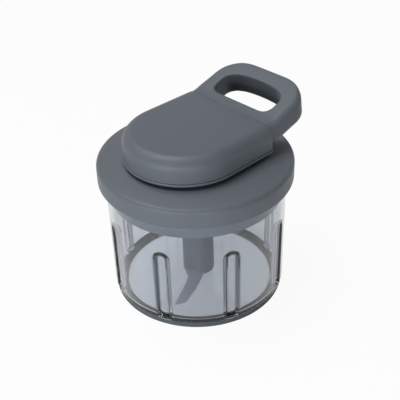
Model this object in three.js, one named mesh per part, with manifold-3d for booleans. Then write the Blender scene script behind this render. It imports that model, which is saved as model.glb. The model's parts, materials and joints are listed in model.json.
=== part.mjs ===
// Pull cord food chopper: a clear ribbed bowl, a blade column on a steel pin, a lid with an inner plug,
// and a pull pod on the lid, whose handle draws a cord off a sprung reel that turns the column.
// Millimetres. +Z is up and +X points the way the handle is pulled.
// The origin is the centre of the bowl's flat underside; the foot ring reaches a little below it.

import * as THREE from 'three';
import { mergeVertices } from 'three/addons/utils/BufferGeometryUtils.js';
import Module from 'manifold-3d';

const wasm = await Module();
wasm.setup();

// Gaps that pieces share.
const fitGap = 0.3; // between a seated piece and its neighbour
const runGap = 0.6; // between pieces that turn against each other
const cutOver = 1; // how far a cutting shape runs past what it cuts

// Bowl.
const bowlHeight = 85.3; // underside to rim
const bowlRimRadius = 58.3;
const bowlTaper = 0.6; // narrower by this at the foot
const bowlWall = 2.4;
const bowlFloor = 2.6;
const bowlCorner = 3.4; // radius where the wall turns into the floor
const rimBead = 1.9; // how far the rim's bead stands out
const rimBeadHeight = 3.2;
const fluteCount = 8;
const fluteFootZ = 4.4;
const fluteTopZ = 54.4;
const fluteRadius = 3.9; // each flute is a round groove in the outer wall
const fluteWall = 2.2; // and a rib of this thickness round it on the inside
const fluteTurnDegrees = 23.5; // the first flute from +X
const bossWall = 2.4; // round the pivot pin
const bossHeight = 4.7; // above the floor

// Foot ring.
const footDrop = 2; // how far the ring stands below the bowl's underside
const footUpstand = 2; // how far its outer edge laps up the bowl
const footLap = 2.6; // depth of the step in the bowl that it laps
const footCorner = 1.8; // radius of the bowl's corner above it
const footSeat = 1; // depth of the rebate in the bowl's underside that it sits in
const footInset = 0.8; // how far it stands in from the bowl's wall
const footWidth = 7.7; // from the bowl's foot inwards
const footChamfer = 0.5;

// Pivot pin and blade column.
const pinRadius = 2.5;
const pinTopZ = 26;
const pinSeatFloor = 1.2; // plastic left under the pin
const columnWall = 4.8; // round the boss
const columnLift = 1.8; // column foot above the bowl's floor
const columnChamfer = 0.9;
const neckWall = 2; // neck outside the hexagon's corners
const bushWall = 1.2;
const bushCap = 2; // bush left over the pin's tip
const splineRadius = 5; // corner radius of the column's hexagon
const splineLength = 5.4;

// Blades.
const bladeClear = 5.7; // tips to the flutes' ribs
const bladeRootWidth = 12;
const bladeTipWidth = 9;
const bladeSweep = 4; // how far the tip is swept back
const bladeThick = 1.2;
const lowBladeZ = 1.4; // above the column's foot
const bladeStep = 4.6; // upper blade above the lower one
const bladeTurnDegrees = 214;

// Lid.
const lidWall = 2.5;
const lidHeight = 15.4; // skirt's lower edge to the flat top
const lidShoulder = 3; // the top's edge lies this far below the flat top
const lidFillet = 3.2;
const lidFlatMargin = 4.8; // flat top outside the pod's screws
const lidEdgeDegrees = 80; // how far round the top edge turns before the slope
const rimDepth = 4.5; // how far the rim sits inside the skirt
const gasketThick = 0.8;
const plugDisc = 2.2;
const plugDrop = 17.3; // plug ring below its disc
const plugRingWall = 2.4;
const plugGap = 0.78; // plug ring to the bowl's wall
const plugBossWall = 5; // round the column's neck
const plugBossDrop = 11.8;
const sealWidth = 2.3;
const sealRecess = 2.4;
const plugScrewInset = 10.6; // from the plug's ring inwards

// Pull pod.
const podNoseRadius = 39.8; // half-width too, at the nose
const podNoseX = -8.2; // centre of the round nose
const podEndX = 30; // flat end at the seam
const podTaper = 0.5; // narrower by this at the seam
const reelHeadroom = 1.8; // from the reel's cap to the pod's ceiling
const podNeckInset = 5.6;
const podNeckHeight = 2.2;
const podLipThick = 1.6;
const podLipProud = 0.6;
const podWall = 2.3;
const podRoundHeight = 8; // rounding of the top edge, upwards
const podRoundWidth = 7.4; // and inwards
const podScrewInset = 8.5; // from the pod's outline
const podScrewNoseDegrees = 123; // round the nose's centre
const podScrewBite = 10; // screw length in the cover's boss

// Reel.
const drumRadius = 19;
const drumWall = 1.8;
const flangeReach = 5; // flanges past the drum
const flangeThick = 1.2;
const drumFloor = 2;
const drumInside = 10; // height of the spring's space
const reelRecess = 0.6; // sunk into the pod's base
const recessWall = 2;
const sleeveWall = 3.2;
const postRadius = 2.6;
const postReach = 2.3; // post below the drum's floor
const cordRadius = 0.8;
const cordPitch = 2.05; // one turn to the next
const cordTurns = 3.75;
const springStrip = 0.5;
const springTurns = 5;

// Cord guide in the pod's end wall.
const guideBore = 1.4;
const guideBarrelRadius = 2.6;
const guideFlangeRadius = 3.5;
const guideFlangeThick = 1.2;
const cordBend = 1.8; // run of the bend before the guide

// Handle.
const seamGap = 0.3;
const handleLength = 42; // from its root to the tip
const handleNarrowing = 1.2; // narrower by this where the end starts to round
const knotRoom = 2; // under the cord's knot
const handleThick = 16.5;
const handleSlopeDegrees = 18.5;
const handleBlend = 9; // run over which the top turns upwards
const handleEdge = 5.4; // radius of its top edges
const handleDraft = 1; // they stand in from the lower edges by this
const handleLowEdge = 3; // and of its lower ones
const handleEndRun = 21; // length of the rounded end, seen from above
const handleEndPower = 2.5;
const handleEndShare = 0.998; // where the rounded end is closed flat
const edgeWidthShare = 0.8; // most that an edge's radius takes of the half-width
const topEdgeShare = 0.55; // and of the thickness, at the top
const lowEdgeShare = 0.35; // and below
const holeRun = 8.6; // root to the finger hole
const holeEndBar = 11.4; // solid left between the hole and the tip
const holeSideBar = 14.1; // and on each side
const holeCorner = 7.5;
const holeSideRun = 4;
const holeBulgeShare = 0.55; // fullness of its far side, sideways
const holeTurnShare = 0.25; // and where that side meets the corner
const holeLeanDegrees = 14; // its walls lean outwards on the way down
const knotRadius = 1.6;
const rootWall = 1.8;
const pocketHalfWidth = 6.5;
const plateHalfWidth = 13;
const plateThick = 1.4;
const plateRecess = 1.1; // plate above the handle's lower face
const plateScrewY = 10;

// Screws.
const screwRadius = 1.5;
const screwHeadRadius = 3;
const screwHead = 1.9;
const screwBoss = 3.6;
const screwSlot = 0.8;
const smallScrewRadius = 0.8;
const smallScrewHeadRadius = 1.45;
const smallScrewHead = 0.75;
const smallScrewLength = 4.6;

// Steps of the round shapes.
const roundSteps = 48;
const columnSteps = 32;
const smallSteps = 20;
const fluteSteps = 12;
const screwSteps = 8;
const hexagonSides = 6;
const cornerSteps = 3;
const edgeSteps = 4;
const bladeSteps = 8;
const holeSteps = 4;
const planSteps = 12; // a quarter of the pod's plan
const rootStations = 6;
const endStations = 9;
const leadSteps = 24;
const samplesAStep = 8;
const cordSides = 6;
const stepsATurn = 24;
const springStepsATurn = 16;
const mergeWithin = 1e-4; // corners closer than this are one

// Radii that follow from these.
const bowlFootRadius = bowlRimRadius - bowlTaper;
const fluteInnerRadius = bowlRimRadius - fluteRadius - fluteWall;
const footInnerRadius = bowlFootRadius - footWidth;
const bossRadius = pinRadius + fitGap + bossWall;
const columnRadius = bossRadius + runGap + columnWall;
const neckRadius = splineRadius + neckWall;
const sleeveRadius = splineRadius + fitGap + sleeveWall;
const plugBossRadius = neckRadius + runGap + plugBossWall;
const bladeRoot = bossRadius + 2 * runGap;
const bladeReach = fluteInnerRadius - bladeClear;
const lidRadius = bowlRimRadius + rimBead + fitGap + lidWall;

// Heights that follow from these, above the bowl's underside.
const lidSeatZ = bowlHeight - rimDepth;
const lidTopZ = lidSeatZ + lidHeight;
const columnFootZ = bowlFloor + columnLift;
const plugDiscZ = rimDepth + gasketThick; // from the skirt's lower edge, as the next two are
const plugTopZ = plugDiscZ + plugDisc;
const plateUnderZ = lidHeight - lidWall;
// Heights above the lid's flat top.
const lipTopZ = podNeckHeight + podLipThick;
const recessZ = recessWall;
const drumZ = recessZ + reelRecess;
const drumFloorZ = drumZ + drumFloor;
const drumTopZ = drumFloorZ + drumInside;
const podHeight = drumTopZ + flangeThick + reelHeadroom + podWall;
const drumInnerRadius = drumRadius - drumWall;
const flangeRadius = drumRadius + flangeReach;
const cordZ = drumTopZ - fitGap - cordRadius;
const windRadius = drumRadius + fitGap + cordRadius;
const stubLowZ = plugTopZ + splineLength + runGap - lidHeight;

// Finishes.
const greyPlastic = { color: 0x666c73, roughness: 0.55, metalness: 0 };
const darkPlastic = { color: 0x565c63, roughness: 0.5, metalness: 0 };
const clearPlastic = { color: 0xdfe4ea, roughness: 0.08, metalness: 0, transparent: true, opacity: 0.35 };
const rubber = { color: 0x4e555b, roughness: 0.8, metalness: 0 };
const paleNylon = { color: 0xd8d8d2, roughness: 0.45, metalness: 0 };
const steel = { color: 0xb9bcc0, roughness: 0.3, metalness: 1 };
const cordFibre = { color: 0xe6e4de, roughness: 0.9, metalness: 0 };

// A closed geometry as a solid: corners are shared and faces turned outwards.
function solidOf(geometry) {
  geometry.deleteAttribute('normal');
  geometry.deleteAttribute('uv');
  const merged = mergeVertices(geometry, mergeWithin);
  const corners = merged.attributes.position.array;
  const index = merged.index.array;
  const faces = [];
  let volume = 0;
  const a = new THREE.Vector3();
  const b = new THREE.Vector3();
  const c = new THREE.Vector3();
  for (let i = 0; i < index.length; i += 3) {
    const [p, q, r] = [index[i], index[i + 1], index[i + 2]];
    if (p === q || q === r || r === p) continue;
    faces.push(p, q, r);
    a.fromArray(corners, 3 * p);
    b.fromArray(corners, 3 * q);
    c.fromArray(corners, 3 * r);
    volume += a.dot(b.cross(c));
  }
  if (volume < 0) faces.reverse();
  const mesh = new wasm.Mesh({
    numProp: 3,
    vertProperties: new Float32Array(corners),
    triVerts: new Uint32Array(faces),
  });
  return new wasm.Manifold(mesh);
}

// A solid, or a geometry, as a named mesh.
function piece(name, shape, finish) {
  let geometry = shape;
  if (!shape.isBufferGeometry) {
    const mesh = shape.getMesh();
    geometry = new THREE.BufferGeometry();
    geometry.setAttribute('position', new THREE.BufferAttribute(new Float32Array(mesh.vertProperties), 3));
    geometry.setIndex(new THREE.BufferAttribute(new Uint32Array(mesh.triVerts), 1));
  }
  geometry.computeVertexNormals();
  const made = new THREE.Mesh(geometry, new THREE.MeshStandardMaterial(finish));
  made.name = name;
  return made;
}

// A profile of [radius, height] points turned about Z.
function turned(profile, steps = roundSteps) {
  const points = profile.map(([radius, height]) => new THREE.Vector2(radius, height));
  const geometry = new THREE.LatheGeometry(points, steps);
  geometry.rotateX(Math.PI / 2);
  return solidOf(geometry);
}

// The same for a ring, whose profile closes on itself.
function turnedRing(profile, steps = roundSteps) {
  return turned([...profile, profile[0]], steps);
}

// A plain ring between two radii and two heights.
function ring(inner, outer, low, high, steps = roundSteps) {
  return turnedRing([[inner, low], [outer, low], [outer, high], [inner, high]], steps);
}

// A round bar standing on x, y between two heights.
function bar(radius, low, high, x = 0, y = 0, steps = smallSteps) {
  const geometry = new THREE.CylinderGeometry(radius, radius, high - low, steps);
  geometry.rotateX(Math.PI / 2);
  geometry.translate(x, y, (low + high) / 2);
  return solidOf(geometry);
}

// A block between two corners.
function block([x0, y0, z0], [x1, y1, z1]) {
  const geometry = new THREE.BoxGeometry(x1 - x0, y1 - y0, z1 - z0);
  geometry.translate((x0 + x1) / 2, (y0 + y1) / 2, (z0 + z1) / 2);
  return solidOf(geometry);
}

// A flat outline raised between two heights.
function raised(shape, low, high, curveSegments = screwSteps) {
  const geometry = new THREE.ExtrudeGeometry(shape, {
    depth: high - low, steps: 1, bevelEnabled: false, curveSegments,
  });
  geometry.translate(0, 0, low);
  return solidOf(geometry);
}

// Points of a quarter turn between two directions, in degrees, for a profile's rounded corner.
function corner(centreR, centreZ, radius, fromDegrees, toDegrees, steps = cornerSteps) {
  return Array.from({ length: steps + 1 }, (_, i) => {
    const angle = THREE.MathUtils.degToRad(fromDegrees + (toDegrees - fromDegrees) * i / steps);
    return [centreR + radius * Math.cos(angle), centreZ + radius * Math.sin(angle)];
  });
}

// The outer form of the bowl, which its ribs are kept inside.
function bowlOuter() {
  const stepRadius = bowlFootRadius - footLap;
  const beadRadius = bowlRimRadius + rimBead;
  return turned([
    [0, 0],
    [footInnerRadius - fitGap, 0],
    [footInnerRadius - fitGap, footSeat],
    [stepRadius, footSeat],
    [stepRadius, footUpstand],
    ...corner(bowlFootRadius - footCorner, footUpstand + footCorner, footCorner, -90, 0),
    [bowlRimRadius, bowlHeight - rimBeadHeight - rimBead],
    [beadRadius, bowlHeight - rimBeadHeight],
    [beadRadius, bowlHeight],
    [0, bowlHeight],
  ]);
}

// The space inside the bowl's wall.
function bowlInner() {
  const foot = bowlFootRadius - bowlWall;
  return turned([
    [0, bowlFloor],
    ...corner(foot - bowlCorner, bowlFloor + bowlCorner, bowlCorner, -90, 0),
    [bowlRimRadius - bowlWall, bowlHeight - rimBeadHeight],
    [bowlRimRadius - bowlWall, bowlHeight + cutOver],
    [0, bowlHeight + cutOver],
  ]);
}

// A round bar with a domed top, standing where a flute's axis stands.
function fluteBar(radius, low, high, turnDegrees) {
  const profile = [[0, low], [radius, low], ...corner(0, high - radius, radius, 0, 90)];
  return turned(profile, fluteSteps).translate([bowlRimRadius, 0, 0]).rotate([0, 0, turnDegrees]);
}

function bowl() {
  const outer = bowlOuter();
  let wall = outer.subtract(bowlInner());
  const turns = Array.from({ length: fluteCount }, (_, i) => fluteTurnDegrees + 360 * i / fluteCount);
  for (const turn of turns) {
    const inside = fluteBar(fluteRadius + fluteWall, bowlFloor - fitGap, fluteTopZ + fluteWall, turn);
    wall = wall.add(inside.intersect(outer));
  }
  for (const turn of turns) {
    wall = wall.subtract(fluteBar(fluteRadius, fluteFootZ, fluteTopZ, turn));
  }
  const seat = bar(pinRadius + fitGap, pinSeatFloor, bowlFloor + bossHeight + cutOver);
  const boss = bar(bossRadius, bowlFloor - fitGap, bowlFloor + bossHeight);
  return wall.add(boss).subtract(seat);
}

function footRing() {
  const outer = bowlFootRadius - footInset;
  const lap = bowlFootRadius - footLap + fitGap;
  const top = footUpstand - fitGap;
  return turnedRing([
    [footInnerRadius, -footDrop],
    [outer - footChamfer, -footDrop],
    [outer, footChamfer - footDrop],
    [outer, top - fitGap],
    [outer - fitGap, top],
    [lap, top],
    [lap, footSeat],
    [footInnerRadius, footSeat],
  ]);
}

function bowlGroup() {
  const group = new THREE.Group();
  group.add(piece('bowl', bowl(), clearPlastic));
  group.add(piece('foot_ring', footRing(), rubber));
  group.add(piece('pivot_pin', bar(pinRadius, pinSeatFloor, pinTopZ), steel));
  return group;
}

// Blade outline from the column out to the tip, along +X, swept back towards -Y.
function bladeOutline() {
  const outline = new THREE.Shape();
  const middle = bladeReach / 2;
  outline.moveTo(bladeRoot, -bladeRootWidth / 2);
  outline.quadraticCurveTo(middle, -bladeRootWidth / 2, bladeReach, -bladeSweep - bladeTipWidth / 2);
  outline.lineTo(bladeReach - bladeTipWidth / 2, bladeTipWidth / 2 - bladeSweep);
  outline.quadraticCurveTo(middle, bladeRootWidth / 2, bladeRoot, bladeRootWidth / 2);
  return outline;
}

// The blade, and with a gap all round it the slot it sits in.
function blade(low, gap = 0) {
  const flat = raised(bladeOutline(), low - gap, low + bladeThick + gap, bladeSteps);
  const bevelCut = block(
    [columnRadius + bladeThick, -bladeReach, low + bladeThick / 2],
    [bladeReach + cutOver, -bladeRootWidth / 2 + bladeThick, low + bladeThick + cutOver],
  );
  return gap > 0 ? flat : flat.subtract(bevelCut);
}

const lowBladeAngle = THREE.MathUtils.degToRad(bladeTurnDegrees);
const bushFoot = bossHeight + runGap - columnLift; // above the column's foot, as the next two are
const bushBlind = pinTopZ + fitGap - columnFootZ;
const bushTop = bushBlind + bushCap;

function column() {
  const shoulder = lidSeatZ + plugDiscZ - plugBossDrop - runGap - columnFootZ;
  const neckTop = lidSeatZ + plugTopZ - columnFootZ;
  const body = turned([
    [0, 0],
    [columnRadius - columnChamfer, 0],
    [columnRadius, columnChamfer],
    [columnRadius, shoulder - columnChamfer],
    [columnRadius - columnChamfer, shoulder],
    [neckRadius, shoulder],
    [neckRadius, neckTop],
    [0, neckTop],
  ], columnSteps);
  const spline = bar(splineRadius, neckTop - cutOver, neckTop + splineLength, 0, 0, hexagonSides);
  const bore = bar(pinRadius + fitGap + bushWall + fitGap, -cutOver, bushTop + fitGap);
  const bossPocket = bar(bossRadius + runGap, -cutOver, bushFoot);
  const slots = [0, 1].map((i) => {
    const turn = bladeTurnDegrees + 180 * i;
    return blade(lowBladeZ + bladeStep * i, fitGap).rotate([0, 0, turn]);
  });
  return body.add(spline).subtract(bore).subtract(bossPocket).subtract(slots[0]).subtract(slots[1]);
}

// The bush is closed at its top, where it stands on the pin's tip.
function columnBush() {
  const inner = pinRadius + fitGap;
  const outer = inner + bushWall;
  return turned([
    [0, bushBlind],
    [inner, bushBlind],
    [inner, bushFoot],
    [outer, bushFoot],
    [outer, bushTop],
    [0, bushTop],
  ], smallSteps);
}

function bladeGroup() {
  const group = new THREE.Group();
  group.position.z = columnFootZ;
  group.add(piece('blade_column', column(), darkPlastic));
  group.add(piece('column_bush', columnBush(), paleNylon));
  ['lower_blade', 'upper_blade'].forEach((name, i) => {
    const made = piece(name, blade(0), steel);
    made.position.z = lowBladeZ + bladeStep * i;
    made.rotation.z = lowBladeAngle + Math.PI * i;
    group.add(made);
  });
  return group;
}

// Inner radius of the bowl's wall at a height, which narrows evenly towards the foot.
function bowlInnerRadiusAt(height) {
  const low = bowlFloor + bowlCorner;
  const share = (height - low) / (bowlHeight - rimBeadHeight - low);
  return THREE.MathUtils.lerp(bowlFootRadius, bowlRimRadius, share) - bowlWall;
}

const plugRingFootZ = lidSeatZ + plugDiscZ - plugDrop;
const plugRingOuter = bowlInnerRadiusAt(plugRingFootZ) - plugGap;
const sealOuter = neckRadius + fitGap + sealWidth;

// Places of the screws that hold the pod, and of those that hold the plug.
const podEndHalfWidth = podNoseRadius - podTaper;
const noseTurn = THREE.MathUtils.degToRad(podScrewNoseDegrees);
const noseScrewX = podNoseX + (podNoseRadius - podScrewInset) * Math.cos(noseTurn);
const noseScrewY = (podNoseRadius - podScrewInset) * Math.sin(noseTurn);
const endScrewX = podEndX - podScrewInset;
const endScrewY = podEndHalfWidth - podScrewInset;
const podScrewPlaces = [
  [noseScrewX, noseScrewY],
  [noseScrewX, -noseScrewY],
  [endScrewX, endScrewY],
  [endScrewX, -endScrewY],
];
const plugScrewRadius = plugRingOuter - plugRingWall - plugScrewInset;
const podScrewReach = Math.max(Math.hypot(noseScrewX, noseScrewY), Math.hypot(endScrewX, endScrewY));
const lidFlatRadius = podScrewReach + screwBoss + lidFlatMargin;
const plugScrewPlaces = [0, 1, 2, 3].map((i) => {
  const angle = i * Math.PI / 2;
  return [plugScrewRadius * Math.cos(angle), plugScrewRadius * Math.sin(angle)];
});

// A screw with its head at the bottom, its shank rising from height 0.
function screw(shankRadius, headRadius, headHeight, length) {
  const shank = bar(shankRadius, -fitGap, length, 0, 0, screwSteps);
  const head = bar(headRadius, -headHeight, 0, 0, 0, screwSteps);
  const slot = block(
    [-headRadius - cutOver, -screwSlot / 2, -headHeight - cutOver],
    [headRadius + cutOver, screwSlot / 2, -headHeight / 2],
  );
  return head.add(shank).subtract(slot);
}

// Adds a copy of a screw at each place, at one height.
function addScrews(group, name, places, height, shape) {
  places.forEach(([x, y], i) => {
    const made = piece(`${name}_${i + 1}`, shape, steel);
    made.position.set(x, y, height);
    group.add(made);
  });
}

function lidShell() {
  const edgeTop = lidHeight - lidShoulder;
  const inner = lidRadius - lidWall;
  const bore = sleeveRadius + runGap;
  let shell = turnedRing([
    [inner, 0],
    [lidRadius, 0],
    ...corner(lidRadius - lidFillet, edgeTop - lidFillet, lidFillet, 0, lidEdgeDegrees),
    [lidFlatRadius, lidHeight],
    [bore, lidHeight],
    [bore, plateUnderZ],
    [lidFlatRadius, plateUnderZ],
    [inner - lidWall, edgeTop - lidWall],
    [inner, edgeTop - 2 * lidWall],
  ]);
  for (const [x, y] of plugScrewPlaces) {
    shell = shell.add(bar(screwBoss, plugTopZ, plateUnderZ + lidWall / 2, x, y, screwSteps));
    shell = shell.subtract(bar(screwRadius + fitGap, plugTopZ - cutOver, plateUnderZ, x, y, screwSteps));
  }
  for (const [x, y] of podScrewPlaces) {
    const hole = bar(screwRadius + fitGap, plateUnderZ - cutOver, lidHeight + cutOver, x, y, screwSteps);
    shell = shell.subtract(hole);
  }
  return shell;
}

function lidPlug() {
  const bore = neckRadius + runGap;
  const recess = plugTopZ - sealRecess;
  let plug = turnedRing([
    [bore, plugDiscZ - plugBossDrop],
    [plugBossRadius, plugDiscZ - plugBossDrop],
    [plugBossRadius, plugDiscZ],
    [plugRingOuter - plugRingWall, plugDiscZ],
    [plugRingOuter - plugRingWall, plugDiscZ - plugDrop],
    [plugRingOuter, plugDiscZ - plugDrop],
    [plugRingOuter, plugDiscZ],
    [lidRadius - lidWall - runGap, plugDiscZ],
    [lidRadius - lidWall - runGap, plugTopZ],
    [sealOuter + fitGap, plugTopZ],
    [sealOuter + fitGap, recess],
    [bore, recess],
  ]);
  for (const [x, y] of plugScrewPlaces) {
    const hole = bar(screwRadius + fitGap, plugDiscZ - cutOver, plugTopZ + cutOver, x, y, screwSteps);
    plug = plug.subtract(hole);
  }
  return plug;
}

function gasket() {
  const outer = bowlRimRadius + rimBead - fitGap;
  return ring(plugRingOuter + fitGap, outer, rimDepth, plugDiscZ);
}

function shaftSeal() {
  const low = plugTopZ - sealRecess;
  return ring(neckRadius + fitGap, sealOuter, low, plugTopZ - fitGap, smallSteps);
}

// Plan of the pod, a round nose with straight sides that run past the seam.
function podPlan(inset) {
  const nose = podNoseRadius - inset;
  const outline = new THREE.Shape();
  outline.moveTo(podEndX + cutOver, inset - podEndHalfWidth);
  outline.lineTo(podNoseX, -nose);
  outline.absarc(podNoseX, 0, nose, -Math.PI / 2, Math.PI / 2, true);
  outline.lineTo(podEndX + cutOver, podEndHalfWidth - inset);
  return outline;
}

// A slab of that plan with square edges, cut off flat at its end.
function podSlab(inset, low, high, endX = podEndX) {
  const slab = raised(podPlan(inset), low, high, planSteps);
  const reach = podNoseRadius + cutOver;
  return slab.subtract(block([endX, -reach, low - cutOver], [endX + reach, reach, high + cutOver]));
}

// A slab of that plan whose top edge is rounded.
function podDome(inset, low, high, roundWidth, roundHeight, endX) {
  const geometry = new THREE.ExtrudeGeometry(podPlan(inset + roundWidth), {
    depth: high - low - roundHeight,
    steps: 1,
    bevelEnabled: true,
    bevelThickness: roundHeight,
    bevelSize: roundWidth,
    bevelSegments: edgeSteps,
    curveSegments: planSteps,
  });
  geometry.translate(0, 0, low);
  const reach = 2 * podNoseRadius;
  const below = block([-reach, -reach, low - reach], [reach, reach, low]);
  const behind = block([endX, -reach, low - reach], [endX + reach, reach, high + reach]);
  return solidOf(geometry).subtract(below).subtract(behind);
}

const recessRadius = flangeRadius + 2 * runGap;
const bearingOuter = sleeveRadius + fitGap + bushWall;

function podBase() {
  const neck = podSlab(podNeckInset, 0, podNeckHeight + fitGap, podEndX - podWall);
  const lip = podSlab(0, podNeckHeight, lipTopZ);
  const recess = bar(recessRadius, recessZ, lipTopZ + cutOver, 0, 0, roundSteps);
  const bore = bar(bearingOuter + fitGap, -cutOver, lipTopZ + cutOver);
  let base = neck.add(lip).subtract(recess).subtract(bore);
  for (const [x, y] of podScrewPlaces) {
    base = base.subtract(bar(screwRadius + fitGap, -cutOver, lipTopZ + cutOver, x, y, screwSteps));
  }
  return base;
}

function podCover() {
  const outer = podDome(podLipProud, lipTopZ, podHeight, podRoundWidth, podRoundHeight, podEndX);
  const ceiling = podHeight - podWall;
  const inner = podDome(podLipProud + podWall, lipTopZ - cutOver, ceiling,
    podRoundWidth - podWall, podRoundHeight - podWall, podEndX - podWall);
  const post = bar(postRadius, drumFloorZ - postReach, ceiling + fitGap);
  let cover = outer.subtract(inner).add(post);
  for (const [x, y] of podScrewPlaces) {
    cover = cover.add(bar(screwBoss, lipTopZ, ceiling + fitGap, x, y, screwSteps));
    const hole = bar(screwRadius + fitGap, lipTopZ - cutOver, lipTopZ + podScrewBite, x, y, screwSteps);
    cover = cover.subtract(hole);
  }
  const wallHole = bar(guideBarrelRadius + fitGap, -podWall - cutOver, cutOver, 0, 0, screwSteps);
  return cover.subtract(wallHole.rotate([0, 90, 0]).translate([podEndX, 0, cordZ]));
}

// Guide bush, turned about Z with its flange low, for laying along +X.
function cordGuide() {
  return turnedRing([
    [guideBore, -guideFlangeThick],
    [guideFlangeRadius, -guideFlangeThick],
    [guideFlangeRadius, 0],
    [guideBarrelRadius, 0],
    [guideBarrelRadius, podWall],
    [guideBore, podWall],
  ], screwSteps);
}

function reelDrum() {
  const shell = turned([
    [0, drumZ],
    [flangeRadius, drumZ],
    [flangeRadius, drumZ + flangeThick],
    [drumRadius, drumZ + flangeThick],
    [drumRadius, drumTopZ],
    [drumInnerRadius, drumTopZ],
    [drumInnerRadius, drumFloorZ],
    [0, drumFloorZ],
  ]);
  const stub = bar(splineRadius, stubLowZ, drumZ + fitGap, 0, 0, hexagonSides);
  const blind = bar(postRadius + fitGap, drumFloorZ - postReach - fitGap, drumFloorZ + cutOver);
  return shell.add(stub).subtract(blind);
}

function driveSleeve() {
  const low = lidSeatZ + plugTopZ + fitGap - lidTopZ;
  const socket = bar(splineRadius + fitGap, low - cutOver, drumZ + cutOver, 0, 0, hexagonSides);
  return bar(sleeveRadius, low, drumZ).subtract(socket);
}

// Spiral strip from the post out to the drum's wall.
function mainspring() {
  const inner = postRadius + 2 * fitGap;
  const outer = drumInnerRadius - fitGap - springStrip;
  const count = springTurns * springStepsATurn;
  const along = (offset) => Array.from({ length: count + 1 }, (_, i) => {
    const angle = 2 * Math.PI * i / springStepsATurn;
    const radius = inner + (outer - inner) * i / count + offset;
    return new THREE.Vector2(radius * Math.cos(angle), radius * Math.sin(angle));
  });
  const strip = new THREE.Shape([...along(0), ...along(springStrip).reverse()]);
  return raised(strip, drumFloorZ + fitGap, drumTopZ - fitGap);
}

// Where the cord leaves the drum: the tangent from the start of the bend before the guide.
const bendX = podEndX - podWall - guideFlangeThick - fitGap - cordBend;
const leaveAngle = Math.acos(windRadius / bendX);
const leavePoint = new THREE.Vector3(
  windRadius * Math.cos(leaveAngle), windRadius * Math.sin(leaveAngle), cordZ);
const leaveDirection = new THREE.Vector3(Math.sin(leaveAngle), -Math.cos(leaveAngle), 0);

// Centre line of the wound cord: a single layer going down the drum, with a straight stretch at each end.
class Winding extends THREE.Curve {
  constructor() {
    super();
    this.straight = 2 * cordRadius;
    this.wound = 2 * Math.PI * windRadius * cordTurns;
    this.whole = this.wound + 2 * this.straight;
  }

  onDrum(share) {
    const angle = leaveAngle + 2 * Math.PI * cordTurns * share;
    return new THREE.Vector3(
      windRadius * Math.cos(angle), windRadius * Math.sin(angle), cordZ - cordPitch * cordTurns * share);
  }

  getPoint(t) {
    const run = t * this.whole - this.straight;
    if (run < 0) return leavePoint.clone().addScaledVector(leaveDirection, -run);
    if (run <= this.wound) return this.onDrum(run / this.wound);
    const end = this.onDrum(1);
    const angle = leaveAngle + 2 * Math.PI * cordTurns;
    const onward = new THREE.Vector3(-Math.sin(angle), Math.cos(angle), 0);
    return end.addScaledVector(onward, run - this.wound);
  }
}

// A round section swept along a curve.
function swept(curve, radius, steps) {
  const section = new THREE.Shape();
  section.absarc(0, 0, radius, 0, 2 * Math.PI, false);
  const geometry = new THREE.ExtrudeGeometry(section, {
    extrudePath: curve, steps, bevelEnabled: false, curveSegments: cordSides / 2,
  });
  return solidOf(geometry);
}

// Least clear distance between stretches of a wound piece that are more than half a turn apart.
function leastGap(points, halfTurn, thickness) {
  let least = Infinity;
  for (let i = 0; i < points.length; i += 1) {
    for (let k = i + halfTurn; k < points.length; k += 1) {
      least = Math.min(least, points[i].distanceTo(points[k]));
    }
  }
  return least - thickness;
}

function cordWinding() {
  const curve = new Winding();
  const samples = Math.round(samplesAStep * stepsATurn * cordTurns);
  const points = Array.from({ length: samples + 1 }, (_, i) => curve.getPoint(i / samples));
  const halfTurn = Math.ceil(samples / cordTurns / 2);
  const gap = leastGap(points, halfTurn, 2 * cordRadius);
  console.log(`cord winding, least gap to itself ${gap.toFixed(2)} mm`);
  return swept(curve, cordRadius, Math.round(stepsATurn * cordTurns));
}

const handleRootX = podEndX + seamGap;
const handleHalfWidth = podEndHalfWidth - podLipProud;
const pocketLength = 2 * (knotRadius + fitGap);
const plateTopZ = cordZ - knotRadius - knotRoom;
const plateZ = plateTopZ - plateThick;
const handleRootLow = plateZ - plateRecess;
const handleRootThick = podHeight - handleRootLow;
const knotX = handleRootX + rootWall + pocketLength / 2;

// The cord from the drum to its knot, bending into the guide.
function cordLead() {
  const start = leavePoint.clone().addScaledVector(leaveDirection, 2 * cordRadius + fitGap);
  const bendPoint = new THREE.Vector3(bendX, 0, cordZ);
  const bendStart = bendPoint.clone().addScaledVector(leaveDirection, -cordBend);
  const bendEnd = new THREE.Vector3(bendX + cordBend, 0, cordZ);
  const end = new THREE.Vector3(knotX - knotRadius - fitGap, 0, cordZ);
  const route = new THREE.CurvePath();
  route.add(new THREE.LineCurve3(start, bendStart));
  route.add(new THREE.QuadraticBezierCurve3(bendStart, bendPoint, bendEnd));
  route.add(new THREE.LineCurve3(bendEnd, end));
  return swept(route, cordRadius, leadSteps);
}

// How far the handle's top has risen at a distance from its root.
function handleRise(run) {
  const slope = Math.tan(THREE.MathUtils.degToRad(handleSlopeDegrees));
  return run < handleBlend ? slope * run * run / (2 * handleBlend) : slope * (run - handleBlend / 2);
}

// Half-width, lower and upper height of the handle at a distance from its root.
function handleSection(run) {
  const straight = handleLength - handleEndRun;
  const into = Math.max(0, run - straight) / handleEndRun;
  const narrowed = handleHalfWidth - handleNarrowing * Math.min(1, run / straight);
  const halfWidth = narrowed * (1 - into ** handleEndPower) ** (1 / handleEndPower);
  const nearEnd = Math.max(0, run - (handleLength - handleEdge));
  const edge = handleEdge - Math.sqrt(handleEdge ** 2 - nearEnd ** 2);
  const thick = THREE.MathUtils.lerp(handleRootThick, handleThick, run / handleLength);
  const high = podHeight + handleRise(run);
  return { halfWidth, low: high - thick + edge, high: high - edge };
}

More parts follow.
